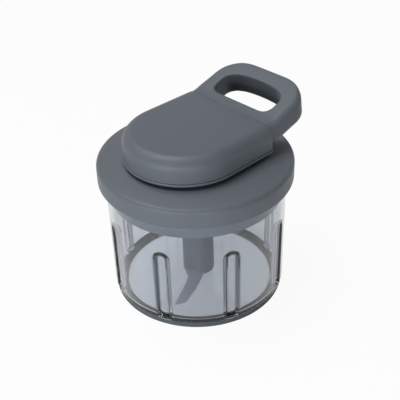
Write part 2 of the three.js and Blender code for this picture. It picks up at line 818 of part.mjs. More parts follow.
// Corner points of one cross-section, with rounded edges, in order round the section.
function handleRing(run) {
  const { halfWidth, low, high } = handleSection(run);
  const thick = high - low;
  const wanted = THREE.MathUtils.lerp(podRoundWidth, handleEdge, Math.min(1, run / handleBlend));
  const most = (halfWidth - handleDraft) * edgeWidthShare;
  const top = Math.min(wanted, thick * topEdgeShare, most);
  const under = Math.min(handleLowEdge, thick * lowEdgeShare, most);
  const corners = [
    [halfWidth - handleDraft - top, high - top, top, 0],
    [top + handleDraft - halfWidth, high - top, top, 90],
    [under - halfWidth, low + under, under, 180],
    [halfWidth - under, low + under, under, 270],
  ];
  return corners.flatMap(([y, z, radius, from]) => corner(y, z, radius, from, from + 90, edgeSteps))
    .map(([y, z]) => [run, y, z]);
}

// A closed skin through rings that have the same number of points.
function lofted(rings) {
  const count = rings[0].length;
  const positions = rings.flat(2);
  const faces = [];
  for (let i = 0; i + 1 < rings.length; i += 1) {
    for (let k = 0; k < count; k += 1) {
      const next = (k + 1) % count;
      const [a, b] = [i * count + k, i * count + next];
      faces.push(a, b, b + count, a, b + count, a + count);
    }
  }
  const last = (rings.length - 1) * count;
  for (let k = 1; k + 1 < count; k += 1) {
    faces.push(0, k + 1, k, last, last + k, last + k + 1);
  }
  const geometry = new THREE.BufferGeometry();
  geometry.setAttribute('position', new THREE.Float32BufferAttribute(positions, 3));
  geometry.setIndex(faces);
  return solidOf(geometry);
}

// Plan of the finger hole: straight at the root, bulged at the far side.
function holePlan() {
  const near = holeRun;
  const far = handleLength - holeEndBar;
  const side = near + holeCorner;
  const turn = side + holeSideRun;
  const half = handleHalfWidth - holeSideBar;
  const bulge = half * holeBulgeShare;
  const shoulder = far - holeCorner * holeTurnShare;
  const outline = new THREE.Shape();
  outline.moveTo(near, half - holeCorner);
  outline.quadraticCurveTo(near, half, side, half);
  outline.lineTo(turn, half);
  outline.bezierCurveTo(shoulder, half, far, bulge, far, 0);
  outline.bezierCurveTo(far, -bulge, shoulder, -half, turn, -half);
  outline.lineTo(side, -half);
  outline.quadraticCurveTo(near, -half, near, holeCorner - half);
  return outline;
}

const pocketX = rootWall;
const plateScrewX = pocketX + pocketLength / 2;

function handleBody() {
  const straight = handleLength - handleEndRun;
  const runs = [];
  for (let i = 0; i < rootStations; i += 1) runs.push(straight * i / rootStations);
  for (let i = 0; i <= endStations; i += 1) {
    const share = handleEndShare * Math.sin(Math.PI / 2 * i / endStations);
    runs.push(straight + handleEndRun * share);
  }
  const form = lofted(runs.map(handleRing));
  const low = handleRootLow - cutOver;
  const high = podHeight + handleRise(handleLength) + cutOver;
  const lean = Math.tan(THREE.MathUtils.degToRad(holeLeanDegrees));
  const leanFrom = podHeight + handleRise(holeRun);
  const hole = raised(holePlan(), low, high, holeSteps).warp((place) => {
    place[0] += lean * (leanFrom - place[2]);
  });
  const rebate = block(
    [pocketX - fitGap, -plateHalfWidth - fitGap, low],
    [pocketX + pocketLength + fitGap, plateHalfWidth + fitGap, plateTopZ],
  );
  const pocket = block(
    [pocketX, -pocketHalfWidth, low],
    [pocketX + pocketLength, pocketHalfWidth, cordZ + knotRadius + runGap],
  );
  const bore = bar(cordRadius + runGap, -cutOver, rootWall + cutOver, 0, 0, screwSteps)
    .rotate([0, 90, 0]).translate([0, 0, cordZ]);
  let body = form.subtract(hole).subtract(rebate).subtract(pocket).subtract(bore);
  for (const side of [-1, 1]) {
    const hold = bar(smallScrewRadius + fitGap, plateZ, plateTopZ + smallScrewLength,
      plateScrewX, side * plateScrewY, screwSteps);
    body = body.subtract(hold);
  }
  return body;
}

function handlePlate() {
  let plate = block(
    [pocketX, -plateHalfWidth, plateZ],
    [pocketX + pocketLength, plateHalfWidth, plateTopZ],
  );
  for (const side of [-1, 1]) {
    plate = plate.subtract(bar(smallScrewRadius + fitGap, plateZ - cutOver, plateTopZ + cutOver,
      plateScrewX, side * plateScrewY, screwSteps));
  }
  return plate;
}

// Handle, with its own zero at the root's face.
function handleGroup() {
  const group = new THREE.Group();
  group.position.x = handleRootX;
  group.add(piece('pull_handle', handleBody(), greyPlastic));
  group.add(piece('handle_plate', handlePlate(), darkPlastic));
  const ball = solidOf(new THREE.SphereGeometry(knotRadius, screwSteps, screwSteps));
  const knot = piece('cord_knot', ball, cordFibre);
  knot.position.set(knotX - handleRootX, 0, cordZ);
  group.add(knot);
  const small = screw(smallScrewRadius, smallScrewHeadRadius, smallScrewHead, smallScrewLength);
  const places = [[plateScrewX, plateScrewY], [plateScrewX, -plateScrewY]];
  addScrews(group, 'handle_screw', places, plateZ, small);
  return group;
}

function reelGroup() {
  const group = new THREE.Group();
  group.add(piece('reel_drum', reelDrum(), paleNylon));
  group.add(piece('spring_cap', ring(postRadius + runGap, flangeRadius, drumTopZ, drumTopZ + flangeThick),
    paleNylon));
  group.add(piece('mainspring', mainspring(), steel));
  group.add(piece('cord_winding', cordWinding(), cordFibre));
  group.add(piece('drive_sleeve', driveSleeve(), darkPlastic));
  return group;
}

// Pull pod, with its own zero on the lid's flat top.
function podGroup() {
  const group = new THREE.Group();
  group.position.z = lidHeight;
  group.add(piece('pod_base', podBase(), greyPlastic));
  group.add(piece('pod_cover', podCover(), greyPlastic));
  const bearing = ring(sleeveRadius + fitGap, bearingOuter, 0, recessZ, smallSteps);
  group.add(piece('sleeve_bearing', bearing, paleNylon));
  const guide = piece('cord_guide', cordGuide(), paleNylon);
  guide.rotation.y = Math.PI / 2;
  guide.position.set(podEndX - podWall, 0, cordZ);
  group.add(guide);
  group.add(piece('cord_lead', cordLead(), cordFibre));
  const length = lidWall + lipTopZ + podScrewBite - fitGap;
  const long = screw(screwRadius, screwHeadRadius, screwHead, length);
  addScrews(group, 'pod_screw', podScrewPlaces, -lidWall, long);
  group.add(reelGroup());
  group.add(handleGroup());
  return group;
}

// Lid, with its own zero at the skirt's lower edge.
function lidGroup() {
  const group = new THREE.Group();
  group.position.z = lidSeatZ;
  group.add(piece('lid_shell', lidShell(), greyPlastic));
  group.add(piece('lid_plug', lidPlug(), darkPlastic));
  group.add(piece('lid_gasket', gasket(), rubber));
  group.add(piece('shaft_seal', shaftSeal(), rubber));
  const short = screw(screwRadius, screwHeadRadius, screwHead, plateUnderZ - plugDiscZ - fitGap);
  addScrews(group, 'plug_screw', plugScrewPlaces, plugDiscZ, short);
  group.add(podGroup());
  return group;
}

const group = new THREE.Group();
group.add(bowlGroup());
group.add(bladeGroup());
group.add(lidGroup());

export default group;
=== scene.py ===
"""Pull cord food chopper: clear ribbed bowl, column with two blades, lid, and a pull pod with its handle."""

import json
import logging
import math
from collections.abc import Iterable, Sequence
from dataclasses import dataclass, field
from enum import Enum

import bmesh
import bpy
from mathutils import Matrix, Vector

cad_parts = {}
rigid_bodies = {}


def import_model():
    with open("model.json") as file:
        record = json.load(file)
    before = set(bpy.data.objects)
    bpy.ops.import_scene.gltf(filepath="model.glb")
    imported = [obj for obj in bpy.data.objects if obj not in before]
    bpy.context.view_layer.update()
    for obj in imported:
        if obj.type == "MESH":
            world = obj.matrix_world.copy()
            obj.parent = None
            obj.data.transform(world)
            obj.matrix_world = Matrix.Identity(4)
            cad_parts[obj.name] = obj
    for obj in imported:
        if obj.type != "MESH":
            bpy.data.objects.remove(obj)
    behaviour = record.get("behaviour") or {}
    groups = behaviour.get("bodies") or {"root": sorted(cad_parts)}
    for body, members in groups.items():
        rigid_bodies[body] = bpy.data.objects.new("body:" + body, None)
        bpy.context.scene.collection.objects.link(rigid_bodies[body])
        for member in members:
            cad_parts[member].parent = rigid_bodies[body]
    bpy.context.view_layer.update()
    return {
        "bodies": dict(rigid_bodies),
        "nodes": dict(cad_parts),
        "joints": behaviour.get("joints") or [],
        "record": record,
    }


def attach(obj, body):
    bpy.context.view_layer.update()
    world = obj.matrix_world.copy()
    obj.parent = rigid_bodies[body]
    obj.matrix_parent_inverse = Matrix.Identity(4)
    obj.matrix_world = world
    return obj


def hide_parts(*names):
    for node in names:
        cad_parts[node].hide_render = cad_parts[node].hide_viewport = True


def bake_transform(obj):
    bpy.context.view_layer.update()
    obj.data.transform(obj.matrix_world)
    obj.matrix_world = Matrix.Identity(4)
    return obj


log = logging.getLogger("chopper")

MM = 0.001
WELD = 1e-4  # corners closer than this, in millimetres, are one
OVER = 1  # millimetres by which a cutter passes the face that it starts from
MOST_RUN = 0.49  # share of an edge that the rounding of one of its ends can take
CORD_HEIGHT = 109.7  # of the cord's first turn, its guide and its knot, in millimetres
POD_TOP = 116.1  # height at which the pod's top and the handle's meet, in millimetres
PAINTED_FLUTE_SHADE = "painted_flute_shade"  # attribute of painted shade that darkens the bowl along its flutes, standing in for the dark lines of refraction there
CORD_LAY = "cord_lay"  # attribute with the length along the cord and the turn round it

Point = tuple[float, float, float]
Profile = list[tuple[float, float]]
Form = bmesh.types.BMesh
Socket = bpy.types.NodeSocket


class Body(Enum):
    """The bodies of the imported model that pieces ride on."""

    BOWL = "bowl_body"
    BLADES = "blade_body"
    LID = "lid_body"
    REEL = "reel_body"
    HANDLE = "handle_body"


class Slot(Enum):
    """The record's material slots."""

    GREY = "grey_plastic"
    DARK = "dark_plastic"
    CLEAR = "clear_plastic"
    RUBBER = "soft_rubber"
    BLADE = "blade_steel"
    STEEL = "steel"
    NYLON = "pale_nylon"
    CORD = "pull_cord"


# ---------------------------------------------------------------- shapes


def bezier(pulls: Sequence[Vector], steps: int) -> list[Vector]:
    """Points on a curve from the first of its control points to the last."""
    order = len(pulls) - 1
    places = []
    for t in (i / steps for i in range(steps + 1)):
        shares = [math.comb(order, k) * t**k * (1 - t) ** (order - k) for k in range(order + 1)]
        places.append(sum((pull * share for pull, share in zip(pulls, shares)), pulls[0] * 0))
    return places


def rounded(corners: Sequence[Point], steps: int = 5) -> Profile:
    """Rounds the corners of a closed profile.

    Args:
        corners: Radius from the axis, height, and rounding of each corner.
        steps: Steps in each rounding.

    Returns:
        The profile's points, in the same order.
    """
    outline: Profile = []
    for i, (r, z, rounding) in enumerate(corners):
        if rounding <= 0:
            outline.append((r, z))
            continue
        here = Vector((r, z))
        to_last = Vector(corners[i - 1][:2]) - here
        to_next = Vector(corners[(i + 1) % len(corners)][:2]) - here
        run = rounding / math.tan(to_last.angle(to_next) / 2)
        run = min(run, MOST_RUN * to_last.length, MOST_RUN * to_next.length)
        pulls = (here + to_last.normalized() * run, here, here + to_next.normalized() * run)
        outline += [(place.x, place.y) for place in bezier(pulls, steps)]
    return outline


def turned(profile: Profile, sides: int, closed: bool = True) -> Form:
    """Spins a profile about the Z axis.

    Args:
        profile: Radius and height of each point.
        sides: Steps round the turn.
        closed: Whether the last point joins the first. An open profile ends on the axis.

    Returns:
        The turned form, with its faces pointing outwards.
    """
    form = bmesh.new()
    places = [form.verts.new((r, 0, z)) for r, z in profile]
    for a, b in zip(places, places[1:] + places[:1] if closed else places[1:]):
        form.edges.new((a, b))
    bmesh.ops.spin(
        form, geom=form.verts[:] + form.edges[:], cent=(0, 0, 0), axis=(0, 0, 1),
        dvec=(0, 0, 0), angle=math.tau, steps=sides, use_merge=True,
    )
    bmesh.ops.remove_doubles(form, verts=form.verts[:], dist=WELD)
    bmesh.ops.recalc_face_normals(form, faces=form.faces[:])
    return form


def lathe(corners: Sequence[Point], sides: int, steps: int = 5, closed: bool = True) -> Form:
    """Rounds the corners of a profile and spins it about the Z axis."""
    return turned(rounded(corners, steps), sides, closed)


def skin(loops: Sequence[Sequence[Vector]], closed: bool = True, capped: bool = True) -> Form:
    """Draws the first loop and extrudes it through the others.

    Args:
        loops: Loops with the same number of points.
        closed: Whether each loop's last point joins its first.
        capped: Whether the first and last loops are filled.

    Returns:
        The skin, its faces pointing outwards, with each corner's order in its loop and its loop's row.
    """
    form = bmesh.new()
    order, row = form.verts.layers.int.new("order"), form.verts.layers.int.new("row")
    first = [form.verts.new(place) for place in loops[0]]
    for i, corner in enumerate(first):
        corner[order] = i
    rim = [form.edges.new(pair) for pair in zip(first, first[1:] + first[:1] if closed else first[1:])]
    begin = rim[:]
    for count, loop in enumerate(loops[1:], start=1):
        made = bmesh.ops.extrude_edge_only(form, edges=rim)["geom"]
        fresh = {item for item in made if isinstance(item, bmesh.types.BMVert)}
        for corner in fresh:
            corner.co = loop[corner[order]]
            corner[row] = count
        rim = list({e for corner in fresh for e in corner.link_edges if e.other_vert(corner) in fresh})
    if capped:
        bmesh.ops.contextual_create(form, geom=begin)
        bmesh.ops.contextual_create(form, geom=rim)
    bmesh.ops.recalc_face_normals(form, faces=form.faces[:])
    return form


def soften(form: Form, edges: Iterable[bmesh.types.BMEdge], width: float) -> None:
    """Bevels edges of a form."""
    bmesh.ops.bevel(
        form, geom=list(edges), offset=width, offset_type="OFFSET", segments=2,
        profile=0.5, affect="EDGES", material=-1, clamp_overlap=True,
    )


def block(low: Point, high: Point, edge: float = 0) -> Form:
    """A block between two corners, with bevelled edges where a width is given."""
    form = bmesh.new()
    size = Vector(high) - Vector(low)
    place = Matrix.Translation((Vector(low) + Vector(high)) / 2) @ Matrix.Diagonal((*size, 1))
    bmesh.ops.create_cube(form, size=1, matrix=place)
    if edge > 0:
        soften(form, form.edges[:], edge)
    return form


def bar(radius: float, low: float, high: float, sides: int, edge: float = 0) -> Form:
    """An upright bar about the Z axis, its radius measured to its corners."""
    form = bmesh.new()
    bmesh.ops.create_cone(
        form, cap_ends=True, cap_tris=False, segments=sides, radius1=radius, radius2=radius,
        depth=high - low, matrix=Matrix.Translation((0, 0, (low + high) / 2)),
    )
    if edge > 0:
        soften(form, form.edges[:], edge)
    return form


def moved(form: Form, matrix: Matrix) -> Form:
    """Places a form by a matrix and returns it."""
    bmesh.ops.transform(form, matrix=matrix, verts=form.verts[:])
    return form


def laid(form: Form, x: float, z: float) -> Form:
    """Turns an upright form to point along +X, with its foot at a place above the X axis."""
    return moved(form, Matrix.Translation((x, 0, z)) @ Matrix.Rotation(math.pi / 2, 4, "Y"))


def held(form: Form, name: str) -> bpy.types.Object:
    """Puts a form, which is used up, in an object of the scene."""
    mesh = bpy.data.meshes.new(name)
    form.to_mesh(mesh)
    form.free()
    holder = bpy.data.objects.new(name, mesh)
    bpy.context.scene.collection.objects.link(holder)
    return holder


def dropped(holder: bpy.types.Object) -> None:
    """Deletes an object and its mesh."""
    mesh = holder.data
    bpy.data.objects.remove(holder)
    bpy.data.meshes.remove(mesh)


def joined(forms: Sequence[Form]) -> Form:
    """Puts several forms into the first of them and returns it."""
    for form in forms[1:]:
        holder = held(form, "part")
        forms[0].from_mesh(holder.data)
        dropped(holder)
    return forms[0]


def modified(form: Form, kind: str, steps: Sequence[dict[str, object]]) -> Form:
    """Runs modifiers on a form.

    Args:
        form: The form, which is used up.
        kind: The modifiers' kind.
        steps: The settings of each modifier.

    Returns:
        What the modifiers leave.
    """
    holder = held(form, "work")
    for settings in steps:
        step = holder.modifiers.new(kind.lower(), kind)
        for name, value in settings.items():
            setattr(step, name, value)
    done = bmesh.new()
    done.from_mesh(holder.evaluated_get(bpy.context.evaluated_depsgraph_get()).to_mesh())
    dropped(holder)
    return done


def carved(form: Form, cutters: Sequence[Form]) -> Form:
    """Cuts forms, which are used up, out of a form and returns what is left of it."""
    tools = [held(cutter, "cutter") for cutter in cutters]
    cuts = [{"operation": "DIFFERENCE", "solver": "EXACT", "object": tool} for tool in tools]
    done = modified(form, "BOOLEAN", cuts)
    for tool in tools:
        dropped(tool)
    return done


@dataclass(frozen=True)
class Screw:
    """A pan head screw, its head below the surface that it bears on."""

    shank: float
    head: float
    head_height: float
    length: float
    pitch: float
    recess: float
    core_share: float = 0.8
    crown_share: float = 0.6
    dome_share: float = 0.45
    dome_edge: float = 0.3
    crest_share: float = 0.4
    arm_share: float = 0.24
    recess_share: float = 0.35
    thread_from: float = 1
    plain_end: float = 1.5
    tip: float = 0.6

    def form(self, x: float, y: float, height: float) -> Form:
        """The screw at a place, its shank rising from the height of the face under its head."""
        core = self.core_share * self.shank
        thread: list[Point] = []
        for i in range(int((self.length - self.plain_end) / self.pitch)):
            z = self.thread_from + i * self.pitch
            crest = self.crest_share * self.pitch
            thread += [(core, z, 0), (self.shank, z + crest, 0), (core, z + 2 * crest, 0)]
        body = lathe([
            (0, -self.head_height, 0), (self.head * self.crown_share, -self.head_height, 0),
            (self.head, -self.dome_share * self.head_height, self.dome_edge * self.head_height),
            (self.head, 0, 0.1),
            (core, 0, 0.1), *thread, (core, self.length - self.tip, 0), (0, self.length, 0),
        ], sides=24, steps=3, closed=False)
        half = self.arm_share * self.recess
        foot, roof = -self.head_height - OVER, -self.recess_share * self.head_height
        arms = [block((-a, -b, foot), (a, b, roof)) for a, b in ((self.recess, half), (half, self.recess))]
        return moved(carved(body, arms), Matrix.Translation((x, y, height)))


CASING_SCREW = Screw(shank=1.5, head=3, head_height=1.9, length=7.3, pitch=1.1, recess=1.7)
POD_SCREW = Screw(shank=1.5, head=3, head_height=1.9, length=16, pitch=1.1, recess=1.7)
SMALL_SCREW = Screw(shank=0.8, head=1.45, head_height=0.75, length=4.6, pitch=0.6, recess=0.85)


# ---------------------------------------------------------------- shader groups


class Graph:
    """A node tree under construction, with short calls to add, set and join nodes."""

    def __init__(self, tree: bpy.types.NodeTree) -> None:
        """Starts on an empty tree."""
        self.tree = tree
        tree.nodes.clear()

    def node(self, kind: str, **settings: object) -> bpy.types.Node:
        """Adds a node, its kind without the ShaderNode before it, and sets its properties."""
        made = self.tree.nodes.new(kind if kind.startswith("NodeGroup") else "ShaderNode" + kind)
        for name, value in settings.items():
            setattr(made, name, value)
        return made

    def join(self, term: object, slot: Socket) -> None:
        """Joins an output to an input, or sets the input where the term is a value."""
        if isinstance(term, Socket):
            self.tree.links.new(term, slot)
        else:
            slot.default_value = term

    def fill(self, node: bpy.types.Node, **terms: object) -> bpy.types.Node:
        """Joins or sets inputs of a node, named with _ for a space, and returns the node."""
        for name, term in terms.items():
            self.join(term, node.inputs[name.replace("_", " ")])
        return node

    def math(self, operation: str, *terms: object) -> Socket:
        """Adds a Math node and returns its output."""
        made = self.node("Math", operation=operation)
        for slot, term in zip(made.inputs, terms):
            self.join(term, slot)
        return made.outputs[0]

    def swing(self, source: Socket, middle: float, spread: Socket, about: object) -> Socket:
        """A value that leaves another by a spread, as a source leaves its middle."""
        return self.math("MULTIPLY_ADD", self.math("SUBTRACT", source, middle), spread, about)

    def place(self) -> Socket:
        """The Object coordinates."""
        return self.node("TexCoord").outputs["Object"]

    def noise(self, **terms: object) -> Socket:
        """Adds a noise and returns its value."""
        return self.fill(self.node("TexNoise"), **terms).outputs["Fac"]

    def mixed_colour(self, share: Socket, first: object, second: object) -> Socket:
        """Mixes two colours, whose sockets on the node are known by number alone."""
        mix = self.node("Mix", data_type="RGBA")
        for slot, term in ((0, share), (6, first), (7, second)):
            self.join(term, mix.inputs[slot])
        return mix.outputs[2]

    def mix_shaders(self, share: Socket, first: bpy.types.Node, second: bpy.types.Node,
                    output: bpy.types.Node) -> None:
        """Feeds an output with the first of two shaders, and with the second by a share."""
        mix = self.node("MixShader")
        for slot, term in zip(mix.inputs, (share, first.outputs[0], second.outputs[0])):
            self.join(term, slot)
        self.join(mix.outputs[0], output.inputs["Surface"])


def group(name: str, inputs: dict[str, str], outputs: dict[str, str]) -> tuple[Graph, object, object]:
    """Starts a shader node group.

    Args:
        name: The group's name.
        inputs: Socket types by name.
        outputs: Socket types by name.

    Returns:
        Its graph, the sockets that give what comes in, and those that take what goes out.
    """
    tree = bpy.data.node_groups.new(name, "ShaderNodeTree")
    for side, sockets in (("INPUT", inputs), ("OUTPUT", outputs)):
        for label, kind in sockets.items():
            tree.interface.new_socket(name=label, in_out=side, socket_type="NodeSocket" + kind)
    graph = Graph(tree)
    return graph, graph.node("NodeGroupInput").outputs, graph.node("NodeGroupOutput").inputs


class Effects:
    """The shader groups that several finishes share."""

    def __init__(self) -> None:
        """Builds each group once."""
        self.grain = self._moulded_grain()
        self.drift = self._colour_drift()
        self.lines = self._drawn_lines()
        self.braid = self._braid()

    @staticmethod
    def _moulded_grain() -> bpy.types.NodeTree:
        """Fine pitted grain of a matt mould: a height, and a roughness round its middle value."""
        graph, given, result = group(
            "Moulded grain",
            {"Grain Scale": "Float", "Roughness": "Float", "Spread": "Float"},
            {"Height": "Float", "Roughness": "Float"},
        )
        place = graph.place()
        pits = graph.fill(graph.node("TexVoronoi", feature="SMOOTH_F1"), Vector=place,
                          Scale=given["Grain Scale"], Smoothness=0.6)
        haze = graph.noise(Vector=place, Scale=graph.math("MULTIPLY", given["Grain Scale"], 0.45), Detail=3)
        broad = graph.noise(Vector=place, Scale=60)
        graph.join(graph.math("MULTIPLY_ADD", haze, 0.8, pits.outputs["Distance"]), result["Height"])
        rough = graph.swing(graph.math("ADD", haze, broad), 1, given["Spread"], given["Roughness"])
        graph.join(rough, result["Roughness"])
        return graph.tree

    @staticmethod
    def _colour_drift() -> bpy.types.NodeTree:
        """Slow drift of a colour over a piece, with a fine speckle."""
        graph, given, result = group(
            "Colour drift",
            {"Colour": "Color", "Drift": "Float", "Speckle": "Float"},
            {"Colour": "Color"},
        )
        place = graph.place()
        slow = graph.swing(graph.noise(Vector=place, Scale=22, Detail=2), 0.5, given["Drift"], 1)
        value = graph.swing(graph.noise(Vector=place, Scale=1400), 0.5, given["Speckle"], slow)
        shift = graph.fill(graph.node("HueSaturation"), Value=value, Color=given["Colour"])
        graph.join(shift.outputs["Color"], result["Colour"])
        return graph.tree

    @staticmethod
    def _drawn_lines() -> bpy.types.NodeTree:
        """Fine drawn lines of ground or rolled metal, along one direction of the piece."""
        graph, given, result = group(
            "Drawn lines",
            {"Stretch": "Vector", "Roughness": "Float", "Spread": "Float"},
            {"Height": "Float", "Roughness": "Float"},
        )
        stretch = graph.node("VectorMath", operation="MULTIPLY")
        graph.join(graph.place(), stretch.inputs[0])
        graph.join(given["Stretch"], stretch.inputs[1])
        lines = graph.noise(Vector=stretch.outputs[0], Scale=1, Detail=4)
        graph.join(lines, result["Height"])
        graph.join(graph.swing(lines, 0.5, given["Spread"], given["Roughness"]), result["Roughness"])
        return graph.tree

    @staticmethod
    def _braid() -> bpy.types.NodeTree:
        """Crossing strands of a braided cord, from its own attribute of length and turn, with painted shade
        that darkens the gaps between strands.
        """
        graph, given, result = group(
            "Braid",
            {"Strands": "Float", "Lay": "Float"},
            {"Height": "Float", "Shade": "Float"},
        )
        parts = graph.node("SeparateXYZ")
        graph.join(graph.node("Attribute", attribute_name=CORD_LAY).outputs["Vector"], parts.inputs[0])
        along = graph.math("MULTIPLY", parts.outputs["X"], given["Lay"])
        about = graph.math("MULTIPLY", parts.outputs["Y"], given["Strands"])
        one, two = (graph.math("ABSOLUTE", graph.math("SINE", graph.math(way, along, about)))
                    for way in ("ADD", "SUBTRACT"))
        weave = graph.math("MULTIPLY", one, two)
        graph.join(weave, result["Height"])
        # painted shade: darker where the strands part
        graph.join(graph.math("POWER", weave, 0.5), result["Shade"])
        return graph.tree


# ---------------------------------------------------------------- finishes


def linear(colour: Point) -> tuple[float, float, float, float]:
    """A colour of 0 to 255 as the screen shows it, as a shader takes it."""
    shares = [c / 255 for c in colour]
    bent = [c / 12.92 if c <= 0.04045 else ((c + 0.055) / 1.055) ** 2.4 for c in shares]
    return (*bent, 1.0)


class Surface(Graph):
    """A material under construction, about its Principled shader."""

    def __init__(self, name: str, **terms: object) -> None:
        """Starts a material, with terms for its shader's inputs."""
        self.material = bpy.data.materials.new(name)
        self.material.use_nodes = True
        super().__init__(self.material.node_tree)
        self.shader = self.fill(self.node("BsdfPrincipled"), **terms)
        self.output = self.node("OutputMaterial")
        self.join(self.shader.outputs["BSDF"], self.output.inputs["Surface"])

    def effect(self, tree: bpy.types.NodeTree, **terms: object) -> object:
        """Puts a shader group in the material and returns its outputs."""
        return self.fill(self.node("Group", node_tree=tree), **terms).outputs

    def bump(self, height: Socket, depth: float) -> None:
        """Feeds the shader's normal from a height, whose 1 is a depth in millimetres."""
        bump = self.fill(self.node("Bump"), Strength=1, Distance=depth * MM, Height=height)
        self.fill(self.shader, Normal=bump.outputs["Normal"])


@dataclass(frozen=True)
class Finish:
    """A finish of the object: its name, its slot in the record and its colour."""

    name: str
    slot: Slot
    colour: Point

    def material(self, effects: Effects) -> bpy.types.Material:
        """Builds the material from the shared effects."""
        raise NotImplementedError(self.name)


@dataclass(frozen=True)
class OpaqueFinish(Finish):
    """A finish whose colour drifts a little over the piece."""

    drift: float = 0.06
    speckle: float = 0.04

    def tint(self, surface: Surface, effects: Effects) -> Socket:
        """Puts the drifting colour in a material."""
        return surface.effect(effects.drift, Colour=linear(self.colour), Drift=self.drift,
                              Speckle=self.speckle)["Colour"]


@dataclass(frozen=True)
class MouldedFinish(OpaqueFinish):
    """Moulded plastic, nylon or rubber with a fine grain."""

    roughness: float = 0.5
    spread: float = 0.12
    grain_size: float = 0.45
    grain_depth: float = 0.004
    specular: float = 0.45

    def material(self, effects: Effects) -> bpy.types.Material:
        """Builds the material, whose grain gives it height and roughness."""
        surface = Surface(self.name, Specular_IOR_Level=self.specular)
        grain = surface.effect(effects.grain, Grain_Scale=1 / (self.grain_size * MM),
                               Roughness=self.roughness, Spread=self.spread)
        tint = self.tint(surface, effects)
        surface.fill(surface.shader, Base_Color=tint, Roughness=grain["Roughness"])
        surface.bump(grain["Height"], self.grain_depth)
        return surface.material


@dataclass(frozen=True)
class ClearFinish(Finish):
    """Clear polished plastic that lets the lamps through, with painted shade along its flutes."""

    shade: Point = (238, 240, 243)
    # colour of the painted shade along the flutes
    flute_shade_colour: Point = (74, 84, 92)
    roughness: float = 0.03
    spread: float = 0.02
    refraction: float = 1.49
    wave_size: float = 9
    wave_depth: float = 0.01

    def material(self, effects: Effects) -> bpy.types.Material:
        """Builds the material, whose slight waviness comes from the moulded grain."""
        surface = Surface(self.name, IOR=self.refraction, Transmission_Weight=1)
        # painted shade: the tint turns dark where the bowl stores its flute shade
        edges = surface.node("Attribute", attribute_name=PAINTED_FLUTE_SHADE).outputs["Fac"]
        tint = surface.mixed_colour(edges, linear(self.colour), linear(self.flute_shade_colour))
        wave = surface.effect(effects.grain, Grain_Scale=1 / (self.wave_size * MM),
                              Roughness=self.roughness, Spread=self.spread)
        surface.fill(surface.shader, Base_Color=tint, Roughness=wave["Roughness"])
        surface.bump(wave["Height"], self.wave_depth)
        through = surface.fill(surface.node("BsdfTransparent"), Color=linear(self.shade))
        shadow = surface.node("LightPath").outputs["Is Shadow Ray"]
        surface.mix_shaders(shadow, surface.shader, through, surface.output)
        return surface.material


@dataclass(frozen=True)
class MetalFinish(OpaqueFinish):
    """Bare metal with drawn lines."""

    drift: float = 0.08
    speckle: float = 0.05
    roughness: float = 0.28
    spread: float = 0.2
    stretch: Point = (90, 3500, 3500)
    line_depth: float = 0.002

    def material(self, effects: Effects) -> bpy.types.Material:
        """Builds the material, whose lines give it height and roughness."""
        surface = Surface(self.name, Metallic=1)
        tint = self.tint(surface, effects)
        lines = surface.effect(effects.lines, Stretch=self.stretch, Roughness=self.roughness,
                               Spread=self.spread)
        surface.fill(surface.shader, Base_Color=tint, Roughness=lines["Roughness"])
        surface.bump(lines["Height"], self.line_depth)
        return surface.material


@dataclass(frozen=True)
class CordFinish(OpaqueFinish):
    """Braided cord."""

    drift: float = 0.05
    speckle: float = 0.1
    strands: float = 4
    lay: float = 2.2
    braid_depth: float = 0.09
    painted_gap_shade: float = 0.62
    roughness: float = 0.85
    sheen: float = 0.3

    def material(self, effects: Effects) -> bpy.types.Material:
        """Builds the material, whose braid gives it height and painted shade in its gaps."""
        surface = Surface(self.name, Roughness=self.roughness, Sheen_Weight=self.sheen)
        braid = surface.effect(effects.braid, Strands=self.strands, Lay=self.lay)
        # colour of the painted shade in the braid's gaps
        dark = linear(tuple(self.painted_gap_shade * c for c in self.colour))
        tint = surface.mixed_colour(braid["Shade"], dark, self.tint(surface, effects))
        surface.fill(surface.shader, Base_Color=tint)
        surface.bump(braid["Height"], self.braid_depth)
        return surface.material


@dataclass
class Palette:
    """Every finish of the object, each made a material once."""

    effects: Effects
    grey: Finish = MouldedFinish("Grey moulded plastic", Slot.GREY, (92, 99, 107))
    dark: Finish = MouldedFinish("Dark moulded plastic", Slot.DARK, (81, 87, 95), roughness=0.42)
    clear: Finish = ClearFinish("Clear plastic", Slot.CLEAR, (221, 225, 230))
    rubber: Finish = MouldedFinish(
        "Grey rubber", Slot.RUBBER, (84, 91, 98), roughness=0.75, grain_size=0.8, grain_depth=0.008,
        specular=0.3)
    blade: Finish = MetalFinish("Ground blade steel", Slot.BLADE, (240, 238, 248), roughness=0.5)
    steel: Finish = MetalFinish("Bright steel", Slot.STEEL, (190, 192, 196), stretch=(2200, 2200, 300))
    nylon: Finish = MouldedFinish(
        "Natural nylon", Slot.NYLON, (216, 216, 208), roughness=0.4, grain_size=1.2)
    cord: Finish = CordFinish("Braided cord", Slot.CORD, (226, 224, 216))
    made: dict[str, bpy.types.Material] = field(default_factory=dict)

    def dress(self, piece: bpy.types.Object, finish: Finish) -> None:
        """Gives a piece or a CAD node one finish, whose material is built at its first use."""
        if finish.name not in self.made:
            self.made[finish.name] = finish.material(self.effects)
        piece.data.materials.clear()
        piece.data.materials.append(self.made[finish.name])


